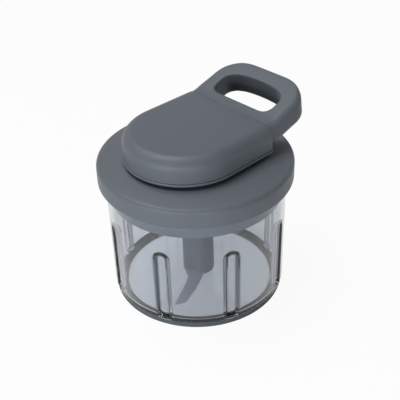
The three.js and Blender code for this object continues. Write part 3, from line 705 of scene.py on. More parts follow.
@dataclass
class Workshop:
    """Turns forms in millimetres into finished pieces of the scene."""

    frame: dict
    palette: Palette
    pieces: int = 0

    def piece(self, name: str, form: Form, finish: Finish, body: Body | None,
              stands_for: Sequence[str], crease: float = 32) -> bpy.types.Object:
        """Makes a piece from a form.

        Args:
            name: The piece's name.
            form: Its form in millimetres, which is used up.
            finish: Its finish.
            body: The body it rides on, or None where it rides on none.
            stands_for: The CAD nodes it replaces.
            crease: Degrees from which an edge shows sharp.

        Returns:
            The piece.
        """
        bmesh.ops.scale(form, vec=(MM, MM, MM), verts=form.verts[:])
        made = held(form, name)
        made.data.shade_smooth()
        made.data.set_sharp_from_angle(angle=math.radians(crease))
        self.palette.dress(made, finish)
        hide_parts(*stands_for)
        if body is not None:
            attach(made, body.value)
        self.pieces += 1
        log.info("%s: %d faces, stands for %s", name, len(made.data.polygons), ", ".join(stands_for))
        return made

    def screws(self, name: str, node: str, screw: Screw, places: Iterable[tuple[float, float]],
               height: float, body: Body) -> None:
        """Makes screws at several places, each for the CAD node of the same number."""
        for i, (x, y) in enumerate(places, start=1):
            self.piece(f"{name}_{i}", screw.form(x, y, height), self.palette.steel, body, [f"{node}_{i}"])

    def keep(self, node: str, finish: Finish) -> None:
        """Keeps a CAD node as it is and gives it a finish."""
        self.palette.dress(self.frame["nodes"][node], finish)
        log.info("%s: the packed node, dressed", node)


# ---------------------------------------------------------------- bowl


@dataclass
class Bowl:
    """Clear bowl with eight flutes pressed in from outside, its foot ring and pivot pin."""

    height: float = 85.3
    rim_radius: float = 58.3
    foot_radius: float = 57.7
    wall: float = 2.4
    floor: float = 2.6
    corner: float = 3.4
    corner_rise: float = 2.1
    bead: float = 1.9
    bead_height: float = 3.2
    under_bead: float = 0.6
    under_rim: float = 0.5
    flutes: int = 8
    flute_turn: float = 23.5
    flute_radius: float = 3.9
    flute_wall: float = 2.2
    flute_top: float = 54.4
    flute_foot: float = 4.4
    lip: float = 2
    # painted shade along each groove: its offset from the groove, the band's width, its fade from the foot
    # and its strength
    edge: float = 0.2
    shade_band_width: float = 1.7
    shade_fade: float = 5
    shade_gain: float = 2
    pad_radius: float = 49.7
    pad_edge: float = 0.4
    seat: float = 1
    step_radius: float = 55.1
    step: float = 2
    foot_corner: float = 1.8
    ring_inner: float = 50
    ring_lap: float = 55.4
    ring_outer: float = 56.9
    ring_low: float = -2
    ring_high: float = 1.7
    boss_radius: float = 5.2
    boss_top: float = 7.3
    pin_hole: float = 2.8
    pin_floor: float = 1.2
    pin_radius: float = 2.5
    pin_top: float = 26
    sides: int = 384
    wall_rows: tuple[int, int, int] = (10, 16, 5)
    crowding: float = 0.6
    softness: float = 0.3
    still_radius: float = 7.2
    outer_margin: float = 0.6
    inner_margin: float = 1

    def levels(self, low: float, high: float) -> list[float]:
        """Heights of the wall's rows, close together where the flutes end."""
        stops = (low, self.flute_top - self.flute_radius, self.flute_top + self.flute_wall, high)
        heights = []
        for begin, end, rows in zip(stops, stops[1:], self.wall_rows):
            heights += [begin + (end - begin) * i / rows for i in range(rows)]
        return heights + [high]

    def profile(self) -> Profile:
        """The bowl's section from the pad round to the pin's seat, without its flutes."""
        lean = (self.rim_radius - self.foot_radius) / self.height
        bead_low = self.height - self.bead_height
        bead_out = self.rim_radius + self.bead
        outer_low, outer_high = self.flute_foot, bead_low - self.bead - self.under_bead
        inner_low, inner_high = self.floor + self.corner_rise * self.corner, bead_low - self.under_rim
        outside = rounded([
            (self.pad_radius, self.seat, 0),
            (self.step_radius, self.seat, 0.5),
            (self.step_radius, self.step, 0.3),
            (self.foot_radius, self.step, self.foot_corner),
            (self.foot_radius + lean * outer_low, outer_low, 0),
        ], steps=8)[:-1]
        outside += [(self.foot_radius + lean * z, z) for z in self.levels(outer_low, outer_high)]
        rim = rounded([
            (self.rim_radius, outer_high, 0),
            (self.rim_radius, bead_low - self.bead, 0.8),
            (bead_out, bead_low, 0.6),
            (bead_out, self.height, 0.7),
            (self.rim_radius - self.wall, self.height, 0.9),
            (self.rim_radius - self.wall, inner_high, 0),
        ])[1:-1]
        inside = [(self.foot_radius + lean * z - self.wall, z)
                  for z in reversed(self.levels(inner_low, inner_high))]
        bottom = rounded([
            (self.foot_radius - self.wall, inner_low, 0),
            (self.foot_radius - self.wall, self.floor, self.corner),
            (self.boss_radius, self.floor, 0.8),
            (self.boss_radius, self.boss_top, 0.5),
            (self.pin_hole, self.boss_top, 0.3),
            (self.pin_hole, self.pin_floor, 0),
        ], steps=8)[1:]
        under = [(0, 0), (self.pad_radius - self.pad_edge, 0)]
        return under + outside + rim + inside + bottom + [(0, self.pin_floor)]

    def with_flute(self, wall: float, across: float, reach: float) -> float:
        """Radius of a wall where a flute may pass.

        Args:
            wall: The plain wall's radius.
            across: Angle from the flute's own axis.
            reach: Radius of the flute's face at this height.

        Returns:
            The lower of the wall's and the flute's radii, rounded over where they cross.
        """
        off = self.rim_radius * math.sin(across)
        if abs(off) >= reach:
            return wall
        face = self.rim_radius * math.cos(across) - math.sqrt(reach**2 - off**2)
        near = max(self.softness - abs(wall - face), 0) / self.softness
        return min(wall, face) - near**2 * self.softness / 4

    def press_flutes(self, form: Form) -> None:
        """Presses the flutes into the turned wall, grooves outside and ribs inside, and stores painted shade
        along the grooves' edges.
        """
        dome = self.flute_top - self.flute_radius
        pitch = math.tau / self.flutes
        first = math.radians(self.flute_turn)
        shade = form.verts.layers.float.new(PAINTED_FLUTE_SHADE)
        for corner in form.verts:
            radius = math.hypot(corner.co.x, corner.co.y)
            if radius < self.still_radius:
                continue
            turn = math.atan2(corner.co.y, corner.co.x)
            turn -= self.crowding / self.flutes * math.sin(self.flutes * (turn - first))
            across = (turn - first + pitch / 2) % pitch - pitch / 2
            height = corner.co.z
            outer = radius > self.foot_radius - self.outer_margin and height >= self.flute_foot - WELD
            inner = not outer and self.floor - WELD < height and radius < self.foot_radius - self.inner_margin
            size = self.flute_radius + (self.flute_wall if inner else 0)
            above = max(0, height - dome)
            if (outer or inner) and above < size:
                radius = self.with_flute(radius, across, math.sqrt(size**2 - above**2))
            # painted shade: a dark band along each groove's edge, standing in for the dark lines that
            # refraction gives in the flutes
            if outer and height < self.flute_top + self.lip:
                off = math.hypot(self.rim_radius * math.sin(across), above)
                rise = min(1, (height - self.flute_foot) / self.shade_fade)
                near = 1 - abs(off - self.flute_radius - self.edge) / self.shade_band_width
                corner[shade] = rise * min(max(0, self.shade_gain * near), 1)
            corner.co = (radius * math.cos(turn), radius * math.sin(turn), height)

    def build(self, shop: Workshop) -> None:
        """Makes the bowl, the foot ring and the pin."""
        shell = turned(self.profile(), self.sides, closed=False)
        self.press_flutes(shell)
        bmesh.ops.recalc_face_normals(shell, faces=shell.faces[:])
        shop.piece("clear_bowl", shell, shop.palette.clear, Body.BOWL, ["bowl"], crease=45)
        ring = lathe([
            (self.ring_inner, self.ring_low, 0.4), (self.ring_outer, self.ring_low, 0.6),
            (self.ring_outer, self.ring_high, 0.3), (self.ring_lap, self.ring_high, 0.1),
            (self.ring_lap, self.seat, 0.1), (self.ring_inner, self.seat, 0.3),
        ], sides=192)
        shop.piece("non_slip_foot_ring", ring, shop.palette.rubber, Body.BOWL, ["foot_ring"])
        pin = lathe([
            (0, self.pin_floor, 0), (self.pin_radius, self.pin_floor, 0.2),
            (self.pin_radius, self.pin_top, 1.1), (0, self.pin_top, 0),
        ], sides=48, closed=False)
        shop.piece("steel_pivot_pin", pin, shop.palette.steel, Body.BOWL, ["pivot_pin"])


# ---------------------------------------------------------------- blades


@dataclass
class BladeColumn:
    """Column that stands on the pin, with its bush, two swept blades and the hexagon that drives it."""

    foot: float = 4.4
    radius: float = 10.6
    edge: float = 0.9
    shoulder: float = 73.7
    neck_radius: float = 7
    neck_top: float = 88.3
    hexagon_radius: float = 5
    hexagon_top: float = 93.7
    hexagon_edge: float = 0.4
    pocket_radius: float = 5.8
    pocket_top: float = 7.9
    bore_radius: float = 4.3
    bore_top: float = 28.6
    bush_inner: float = 2.8
    bush_outer: float = 4
    bush_top: float = 28.3
    bush_blind: float = 26.3
    blade_root: float = 6.4
    blade_reach: float = 46.5
    root_width: float = 12
    tip_width: float = 9
    sweep: float = 4
    thick: float = 1.2
    ground: float = 2.6
    ground_edge: float = 0.25
    ground_from: float = 13
    ground_run: float = 3
    curve_steps: int = 20
    low_blade: float = 5.8
    high_blade: float = 10.4
    turn: float = 214

    def column(self) -> Form:
        """The column with its pocket, bore and hexagon."""
        body = lathe([
            (self.pocket_radius, self.foot, 0.3),
            (self.radius, self.foot, self.edge),
            (self.radius, self.shoulder, self.edge),
            (self.neck_radius, self.shoulder, 0.5),
            (self.neck_radius, self.neck_top, 0.6),
            (0, self.neck_top, 0),
            (0, self.bore_top, 0),
            (self.bore_radius, self.bore_top, 0.2),
            (self.bore_radius, self.pocket_top, 0.2),
            (self.pocket_radius, self.pocket_top, 0.2),
        ], sides=96)
        hexagon = bar(self.hexagon_radius, self.neck_top - OVER, self.hexagon_top, sides=6,
                      edge=self.hexagon_edge)
        return joined([body, hexagon])

    def blade(self, low: float, turn: float) -> Form:
        """One blade, ground to an edge along its leading side.

        Args:
            low: Height of its lower face.
            turn: Its direction from +X, in degrees.

        Returns:
            The blade.
        """
        root, tip = self.root_width / 2, self.tip_width / 2
        middle = self.blade_reach / 2
        cutting = bezier([Vector((self.blade_root, -root)), Vector((middle, -root)),
                          Vector((self.blade_reach, -self.sweep - tip))], self.curve_steps)
        back = bezier([Vector((self.blade_reach - tip, tip - self.sweep)), Vector((middle, root)),
                       Vector((self.blade_root, root))], self.curve_steps)
        loops = []
        for height, inset in ((0, 0), (self.ground_edge, 0), (self.thick, self.ground)):
            loop = []
            for i, place in enumerate(cutting + back):
                ground = min(1, max(0, (place.x - self.ground_from) / self.ground_run))
                shift = inset * ground if i < len(cutting) else 0
                loop.append(Vector((place.x, place.y + shift, low + height)))
            loops.append(loop)
        return moved(skin(loops), Matrix.Rotation(math.radians(turn), 4, "Z"))

    def build(self, shop: Workshop) -> None:
        """Makes the column, the bush and both blades."""
        shop.piece("drive_column", self.column(), shop.palette.dark, Body.BLADES, ["blade_column"])
        bush = lathe([
            (0, self.bush_blind, 0), (self.bush_inner, self.bush_blind, 0.2),
            (self.bush_inner, self.pocket_top, 0.2), (self.bush_outer, self.pocket_top, 0.2),
            (self.bush_outer, self.bush_top, 0.3), (0, self.bush_top, 0),
        ], sides=48, closed=False)
        shop.piece("pin_bush", bush, shop.palette.nylon, Body.BLADES, ["column_bush"])
        for name, node, low, turn in (
            ("swept_blade_low", "lower_blade", self.low_blade, self.turn),
            ("swept_blade_high", "upper_blade", self.high_blade, self.turn + 180),
        ):
            shop.piece(name, self.blade(low, turn), shop.palette.blade, Body.BLADES, [node], crease=12)


# ---------------------------------------------------------------- lid


@dataclass
class Lid:
    """Lid shell, the plug whose ring hangs in the bowl, the rim's gasket, the shaft seal and their screws."""

    foot: float = 80.8
    radius: float = 63
    wall: float = 2.5
    top: float = 96.2
    shoulder: float = 3
    fillet: float = 3.2
    flat_radius: float = 45.96
    flat_edge: float = 12
    bore: float = 9.1
    plug_radius: float = 59.9
    plug_low: float = 86.1
    plug_high: float = 88.3
    ring_inner: float = 52.6
    ring_outer: float = 55.0
    ring_foot: float = 68.8
    boss_radius: float = 12.6
    boss_foot: float = 74.3
    neck_bore: float = 7.6
    gasket_inner: float = 55.3
    gasket_low: float = 85.3
    recess_radius: float = 9.9
    seal_inner: float = 7.3
    seal_mouth: float = 8.2
    seal_outer: float = 9.6
    seal_low: float = 85.9
    seal_lip: float = 87
    seal_high: float = 88
    screw_radius: float = 42

    def shell(self) -> Form:
        """The lid's outer shell, domed slightly towards its edge."""
        edge = self.top - self.shoulder
        under = self.top - self.wall
        inner = self.radius - self.wall
        return lathe([
            (inner, self.foot, 0.6),
            (self.radius, self.foot, 0.8),
            (self.radius, edge, self.fillet),
            (self.flat_radius, self.top, self.flat_edge),
            (self.bore, self.top, 0.3),
            (self.bore, under, 0.2),
            (self.flat_radius, under, 0),
            (inner - self.wall, edge - self.wall, 0),
            (inner, edge - 2 * self.wall, 0),
        ], sides=288, steps=10)

    def plug(self) -> Form:
        """The plug: a disc with a deep ring, and a boss round the column's neck."""
        return lathe([
            (self.neck_bore, self.boss_foot, 0.3),
            (self.boss_radius, self.boss_foot, 0.6),
            (self.boss_radius, self.plug_low, 0.8),
            (self.ring_inner, self.plug_low, 1.2),
            (self.ring_inner, self.ring_foot, 0.5),
            (self.ring_outer, self.ring_foot, 0.8),
            (self.ring_outer, self.plug_low, 0.1),
            (self.plug_radius, self.plug_low, 0.3),
            (self.plug_radius, self.plug_high, 0.3),
            (self.recess_radius, self.plug_high, 0.2),
            (self.recess_radius, self.seal_low, 0.1),
            (self.neck_bore, self.seal_low, 0.1),
        ], sides=192)

    def build(self, shop: Workshop) -> None:
        """Makes the lid's pieces."""
        look = shop.palette
        shop.piece("lid_top_shell", self.shell(), look.grey, Body.LID, ["lid_shell"])
        shop.piece("lid_inner_plug", self.plug(), look.grey, Body.LID, ["lid_plug"])
        gasket = lathe([
            (self.gasket_inner, self.gasket_low, 0.2), (self.plug_radius, self.gasket_low, 0.2),
            (self.plug_radius, self.plug_low, 0.2), (self.gasket_inner, self.plug_low, 0.2),
        ], sides=192, steps=3)
        shop.piece("rim_gasket", gasket, look.rubber, Body.LID, ["lid_gasket"])
        seal = lathe([
            (self.seal_inner, self.seal_low, 0.2), (self.seal_outer, self.seal_low, 0.2),
            (self.seal_outer, self.seal_high, 0.3), (self.seal_mouth, self.seal_high, 0.2),
            (self.seal_inner, self.seal_lip, 0.3),
        ], sides=64, steps=3)
        shop.piece("column_neck_seal", seal, look.rubber, Body.LID, ["shaft_seal"])
        turns = [math.radians(90 * i) for i in range(4)]
        places = [(self.screw_radius * math.cos(turn), self.screw_radius * math.sin(turn)) for turn in turns]
        shop.screws("plug_fixing", "plug_screw", CASING_SCREW, places, self.plug_low, Body.LID)


# ---------------------------------------------------------------- pod


@dataclass
class PodPlan:
    """The pod seen from above: a round nose and straight sides up to the seam."""

    nose_radius: float = 39.8
    nose_x: float = -8.2
    end_x: float = 30
    taper: float = 0.5
    past_seam: float = 1
    nose_steps: int = 96
    side_steps: int = 8

    def half_width(self, x: float, inset: float) -> float:
        """Half the straight part's width at a place along X."""
        run = self.end_x + self.past_seam - self.nose_x
        return self.nose_radius - inset - self.taper * (x - self.nose_x) / run

    def chain(self, inset: float, height: float, back: float = 0) -> list[Vector]:
        """Open outline from one end of the seam round the nose to the other.

        Args:
            inset: How far inside the plan's outline.
            height: Its height.
            back: How far before the seam it ends.

        Returns:
            The outline's points.
        """
        end = self.end_x - back
        xs = [end + (self.nose_x - end) * i / self.side_steps for i in range(self.side_steps)]
        side = [Vector((x, -self.half_width(x, inset), height)) for x in xs]
        radius = self.nose_radius - inset
        nose = []
        for i in range(self.nose_steps + 1):
            turn = -math.pi / 2 - math.pi * i / self.nose_steps
            nose.append(Vector((self.nose_x + radius * math.cos(turn), radius * math.sin(turn), height)))
        return side + nose + [Vector((v.x, -v.y, v.z)) for v in reversed(side)]


@dataclass
class Pod:
    """Two casings of the pull pod, with the guide that the cord leaves through and the sleeve's bearing."""

    plan: PodPlan = field(default_factory=PodPlan)
    foot: float = 96.2
    neck_inset: float = 5.6
    neck_top: float = 98.4
    neck_lap: float = 0.3
    lip_top: float = 100
    top: float = POD_TOP
    cover_inset: float = 0.6
    cover_edge: float = 0.25
    seam_edge: float = 0.22
    round_height: float = 8
    round_width: float = 7.4
    wall: float = 2.3
    edge: float = 0.3
    edge_ease: float = 0.3
    recess_radius: float = 25.2
    recess_floor: float = 98.2
    bearing_outer: float = 10
    room: float = 0.3
    guide_bore: float = 1.4
    guide_barrel: float = 2.6
    guide_flange: float = 3.5
    flange_thick: float = 1.2
    hole_reach: float = 8
    round_steps: int = 16
    screw_face: float = 93.7
    screw_places: tuple[tuple[float, float], ...] = (
        (-25.25, 26.25), (-25.25, -26.25), (21.5, 30.8), (21.5, -30.8))

    def base(self) -> Form:
        """The lower casing: a thin lip on an inset neck, with the reel's recess."""
        edge, eased = self.edge, self.edge_ease * self.edge
        low, high = self.neck_top, self.lip_top
        rows = ((edge, low), (eased, low + eased), (0, low + edge),
                (0, high - edge), (eased, high - eased), (edge, high))
        lip = skin([self.plan.chain(inset, height, inset) for inset, height in rows])
        neck = skin([self.plan.chain(self.neck_inset, height, self.wall)
                     for height in (self.foot, self.neck_top + self.neck_lap)])
        recess = bar(self.recess_radius, self.recess_floor, self.lip_top + OVER, sides=96)
        bore = bar(self.bearing_outer + self.room, self.foot - OVER, self.lip_top + OVER, sides=64)
        return joined([carved(lip, [recess.copy(), bore.copy()]), carved(neck, [recess, bore])])

    def cover(self) -> Form:
        """The upper casing: a wall of even thickness with a broad rounded edge, flat at the seam."""
        straight_top = self.top - self.round_height
        rows = [(self.cover_inset + self.cover_edge, self.lip_top),
                (self.cover_inset, self.lip_top + self.cover_edge),
                (self.cover_inset, (self.lip_top + straight_top) / 2)]
        for i in range(self.round_steps + 1):
            turn = math.pi / 2 * i / self.round_steps
            rows.append((self.cover_inset + self.round_width * (1 - math.cos(turn)),
                         straight_top + self.round_height * math.sin(turn)))
        form = skin([self.plan.chain(*row) for row in rows], closed=False, capped=False)
        ends = self.plan.end_x - WELD
        top = [v for v in form.verts if v.co.z > self.top - WELD]
        corners = sorted((v for v in top if v.co.x > ends), key=lambda v: v.co.y)
        form.edges.new((corners[0], corners[-1]))
        flat = [e for e in form.edges if all(v.co.z > self.top - WELD for v in e.verts)]
        bmesh.ops.contextual_create(form, geom=flat)
        foot = form.edges.new([v for v in form.verts if v.co.z < self.lip_top + WELD and v.co.x > ends])
        seam = [e for e in form.edges if all(v.co.x > ends for v in e.verts)]
        bmesh.ops.contextual_create(form, geom=seam)
        bmesh.ops.recalc_face_normals(form, faces=form.faces[:])
        soften(form, [e for e in seam if e.is_valid and e is not foot], self.seam_edge)
        walled = modified(form, "SOLIDIFY", [
            {"thickness": self.wall, "offset": -1, "use_even_offset": True}])
        hole = bar(self.guide_barrel + self.room, -self.hole_reach, self.hole_reach, sides=40)
        return carved(walled, [laid(hole, ends, CORD_HEIGHT)])

    def guide(self) -> Form:
        """The guide bush, with both mouths rounded for the cord."""
        form = lathe([
            (self.guide_bore, -self.flange_thick, 0.5), (self.guide_flange, -self.flange_thick, 0.3),
            (self.guide_flange, 0, 0.2), (self.guide_barrel, 0, 0.1),
            (self.guide_barrel, self.wall, 0.2), (self.guide_bore, self.wall, 0.6),
        ], sides=48, steps=6)
        return laid(form, self.plan.end_x - self.wall, CORD_HEIGHT)

    def build(self, shop: Workshop) -> None:
        """Makes the pod's casings, bearings and screws."""
        look = shop.palette
        shop.piece("pod_lower_casing", self.base(), look.grey, Body.LID, ["pod_base"])
        shop.piece("pod_upper_casing", self.cover(), look.grey, Body.LID, ["pod_cover"], crease=38)
        shop.piece("cord_guide_bush", self.guide(), look.nylon, Body.LID, ["cord_guide"])
        shop.screws("pod_fixing", "pod_screw", POD_SCREW, self.screw_places, self.screw_face, Body.LID)
        shop.keep("sleeve_bearing", look.nylon)


# ---------------------------------------------------------------- handle


@dataclass
class Handle:
    """Pull handle: a loft whose top rises smoothly from the pod's, with a leaning finger hole."""

    root_x: float = 30.3
    length: float = 42
    half_width: float = 38.7
    narrowing: float = 1.2
    root_low: float = 103.6
    root_high: float = POD_TOP
    thick: float = 16.5
    slope: float = 18.5
    blend: float = 9
    top_edge: float = 5.4
    root_edge: float = 7.4
    low_edge: float = 3
    width_share: float = 0.8
    top_share: float = 0.55
    low_share: float = 0.35
    draft: float = 1
    end_run: float = 21
    end_power: float = 2.5
    end_share: float = 0.9985
    end_steps: int = 28
    straight_steps: int = 24
    hole_run: float = 8.6
    hole_end_bar: float = 11.4
    hole_half: float = 24.6
    hole_corner: float = 7.5
    hole_side: float = 4
    hole_bulge: float = 0.55
    hole_turn: float = 0.25
    hole_lean: float = 14
    hole_edge: float = 1.6
    hole_over: float = 1.5
    hole_middle: float = 20
    hole_steps: tuple[int, int, int, int] = (8, 16, 4, 32)
    flare_steps: int = 6
    plate_low: float = 104.7
    plate_high: float = 106.1
    plate_half: float = 13
    plate_room: float = 0.3
    plate_edge: float = 0.25
    pocket_x: float = 1.8
    pocket_length: float = 3.8
    pocket_half: float = 6.5
    pocket_above: float = 2.2
    under: float = 2
    bore_radius: float = 1.4
    bore_end: float = 3
    screw_y: float = 10
    voxel: float = 0.42
    smoothing: int = 5

    def rise(self, run: float) -> float:
        """How far the top has risen at a distance from the root."""
        slope = math.tan(math.radians(self.slope))
        if run < self.blend:
            return slope * run * run / (2 * self.blend)
        return slope * (run - self.blend / 2)

    def section(self, run: float) -> tuple[float, float, float]:
        """Half-width, lower and upper height at a distance from the root."""
        straight = self.length - self.end_run
        into = min(1.0, max(0, run - straight) / self.end_run)
        width = self.half_width - self.narrowing * min(1, run / straight)
        width *= (1 - into**self.end_power) ** (1 / self.end_power)
        near_end = max(0, run - (self.length - self.top_edge))
        edge = self.top_edge - math.sqrt(max(0, self.top_edge**2 - near_end**2))
        root_thick = self.root_high - self.root_low
        thick = root_thick + (self.thick - root_thick) * run / self.length
        high = self.root_high + self.rise(run)
        return width, high - thick + edge, high - edge

    def ring(self, run: float, steps: int = 10) -> list[Vector]:
        """One cross-section with rounded edges."""
        width, low, high = self.section(run)
        thick = high - low
        wanted = self.root_edge + (self.top_edge - self.root_edge) * min(1, run / self.blend)
        most = self.width_share * (width - self.draft)
        top = min(wanted, self.top_share * thick, most)
        under = min(self.low_edge, self.low_share * thick, most)
        places = []
        for y, z, radius, begin in (
            (width - self.draft - top, high - top, top, 0),
            (top + self.draft - width, high - top, top, 90),
            (under - width, low + under, under, 180),
            (width - under, low + under, under, 270),
        ):
            for i in range(steps + 1):
                turn = math.radians(begin + 90 * i / steps)
                places.append(Vector((self.root_x + run, y + radius * math.cos(turn),
                                      z + radius * math.sin(turn))))
        return places

    def loft(self) -> Form:
        """The handle's whole form, before its hole."""
        straight = self.length - self.end_run
        runs = [straight * i / self.straight_steps for i in range(self.straight_steps)]
        for i in range(self.end_steps + 1):
            share = self.end_share * math.sin(math.pi / 2 * i / self.end_steps)
            runs.append(straight + self.end_run * share)
        return skin([self.ring(run) for run in runs])

    def hole_outline(self) -> list[Vector]:
        """Plan of the finger hole: straight at the root, bulged at its far side."""
        near, far, half = self.hole_run, self.length - self.hole_end_bar, self.hole_half
        side = near + self.hole_corner
        turn = side + self.hole_side
        start, corner = Vector((near, half - self.hole_corner)), Vector((near, half))
        level, leaving = Vector((side, half)), Vector((turn, half))
        shoulder = Vector((far - self.hole_corner * self.hole_turn, half))
        bulge, tip = Vector((far, half * self.hole_bulge)), Vector((far, 0))
        stretches = ([Vector((near, 0)), start], [start, corner, level], [level, leaving],
                     [leaving, shoulder, bulge, tip])
        upper = []
        for pulls, steps in zip(stretches, self.hole_steps):
            upper += bezier(pulls, steps)[:-1]
        return upper + [tip] + [Vector((v.x, -v.y)) for v in reversed(upper[1:])]

    def flare(self, down: float) -> float:
        """How far the hole's mouth stands out at a depth below the face."""
        left = max(0.0, self.hole_edge - down)
        return self.hole_edge - math.sqrt(max(0.0, self.hole_edge**2 - left**2))

    def hole(self) -> Form:
        """The cutter of the finger hole, flared at both mouths."""
        outline = self.hole_outline()
        outward = []
        for i, place in enumerate(outline):
            along = outline[(i + 1) % len(outline)] - outline[i - 1]
            away = Vector((-along.y, along.x)).normalized()
            outward.append(-away if away.dot(place - Vector((self.hole_middle, 0))) < 0 else away)
        lean = math.tan(math.radians(self.hole_lean))
        lean_from = self.root_high + self.rise(self.hole_run)
        quarter, steps = math.pi / 2, self.flare_steps
        downs = [self.hole_edge * math.sin(quarter * i / steps) for i in range(steps + 1)]
        downs.insert(0, -self.hole_over)
        rows = [(True, down) for down in downs] + [(False, down) for down in reversed(downs)]
        loops = []
        for on_top, down in rows:
            loop = []
            for place, away in zip(outline, outward):
                spot = place + away * self.flare(down)
                _, low, high = self.section(min(spot.x, self.length - self.top_edge))
                z = high - down if on_top else low + down
                loop.append(Vector((self.root_x + spot.x + lean * (lean_from - z), spot.y, z)))
            loops.append(loop)
        return skin(loops)

    def body(self) -> Form:
        """The handle with its hole, the plate's rebate, the knot's pocket and the cord's bore."""
        x0 = self.root_x + self.pocket_x
        x1 = x0 + self.pocket_length
        low, room = self.root_low - self.under, self.plate_room
        rebate = block((x0 - room, -self.plate_half - room, low),
                       (x1 + room, self.plate_half + room, self.plate_high))
        pocket = block((x0, -self.pocket_half, low),
                       (x1, self.pocket_half, CORD_HEIGHT + self.pocket_above))
        bore = bar(self.bore_radius, -OVER, self.bore_end, sides=32)
        cut = carved(self.loft(), [self.hole(), rebate, pocket, laid(bore, self.root_x, CORD_HEIGHT)])
        form = modified(cut, "REMESH", [{"mode": "VOXEL", "voxel_size": self.voxel}])
        for _ in range(self.smoothing):
            bmesh.ops.smooth_vert(form, verts=form.verts[:], factor=0.5, use_axis_x=True,
                                  use_axis_y=True, use_axis_z=True)
        return form

    def build(self, shop: Workshop) -> None:
        """Makes the handle, the plate over its pocket and the plate's screws."""
        look = shop.palette
        shop.piece("pull_handle_grip", self.body(), look.grey, Body.HANDLE, ["pull_handle"], crease=60)
        x0 = self.root_x + self.pocket_x
        x1 = x0 + self.pocket_length
        plate = block((x0, -self.plate_half, self.plate_low), (x1, self.plate_half, self.plate_high),
                      self.plate_edge)
        shop.piece("knot_cover_plate", plate, look.dark, Body.HANDLE, ["handle_plate"])
        middle = (x0 + x1) / 2
        places = ((middle, self.screw_y), (middle, -self.screw_y))
        shop.screws("plate_fixing", "handle_screw", SMALL_SCREW, places, self.plate_low, Body.HANDLE)


# ---------------------------------------------------------------- cord and reel


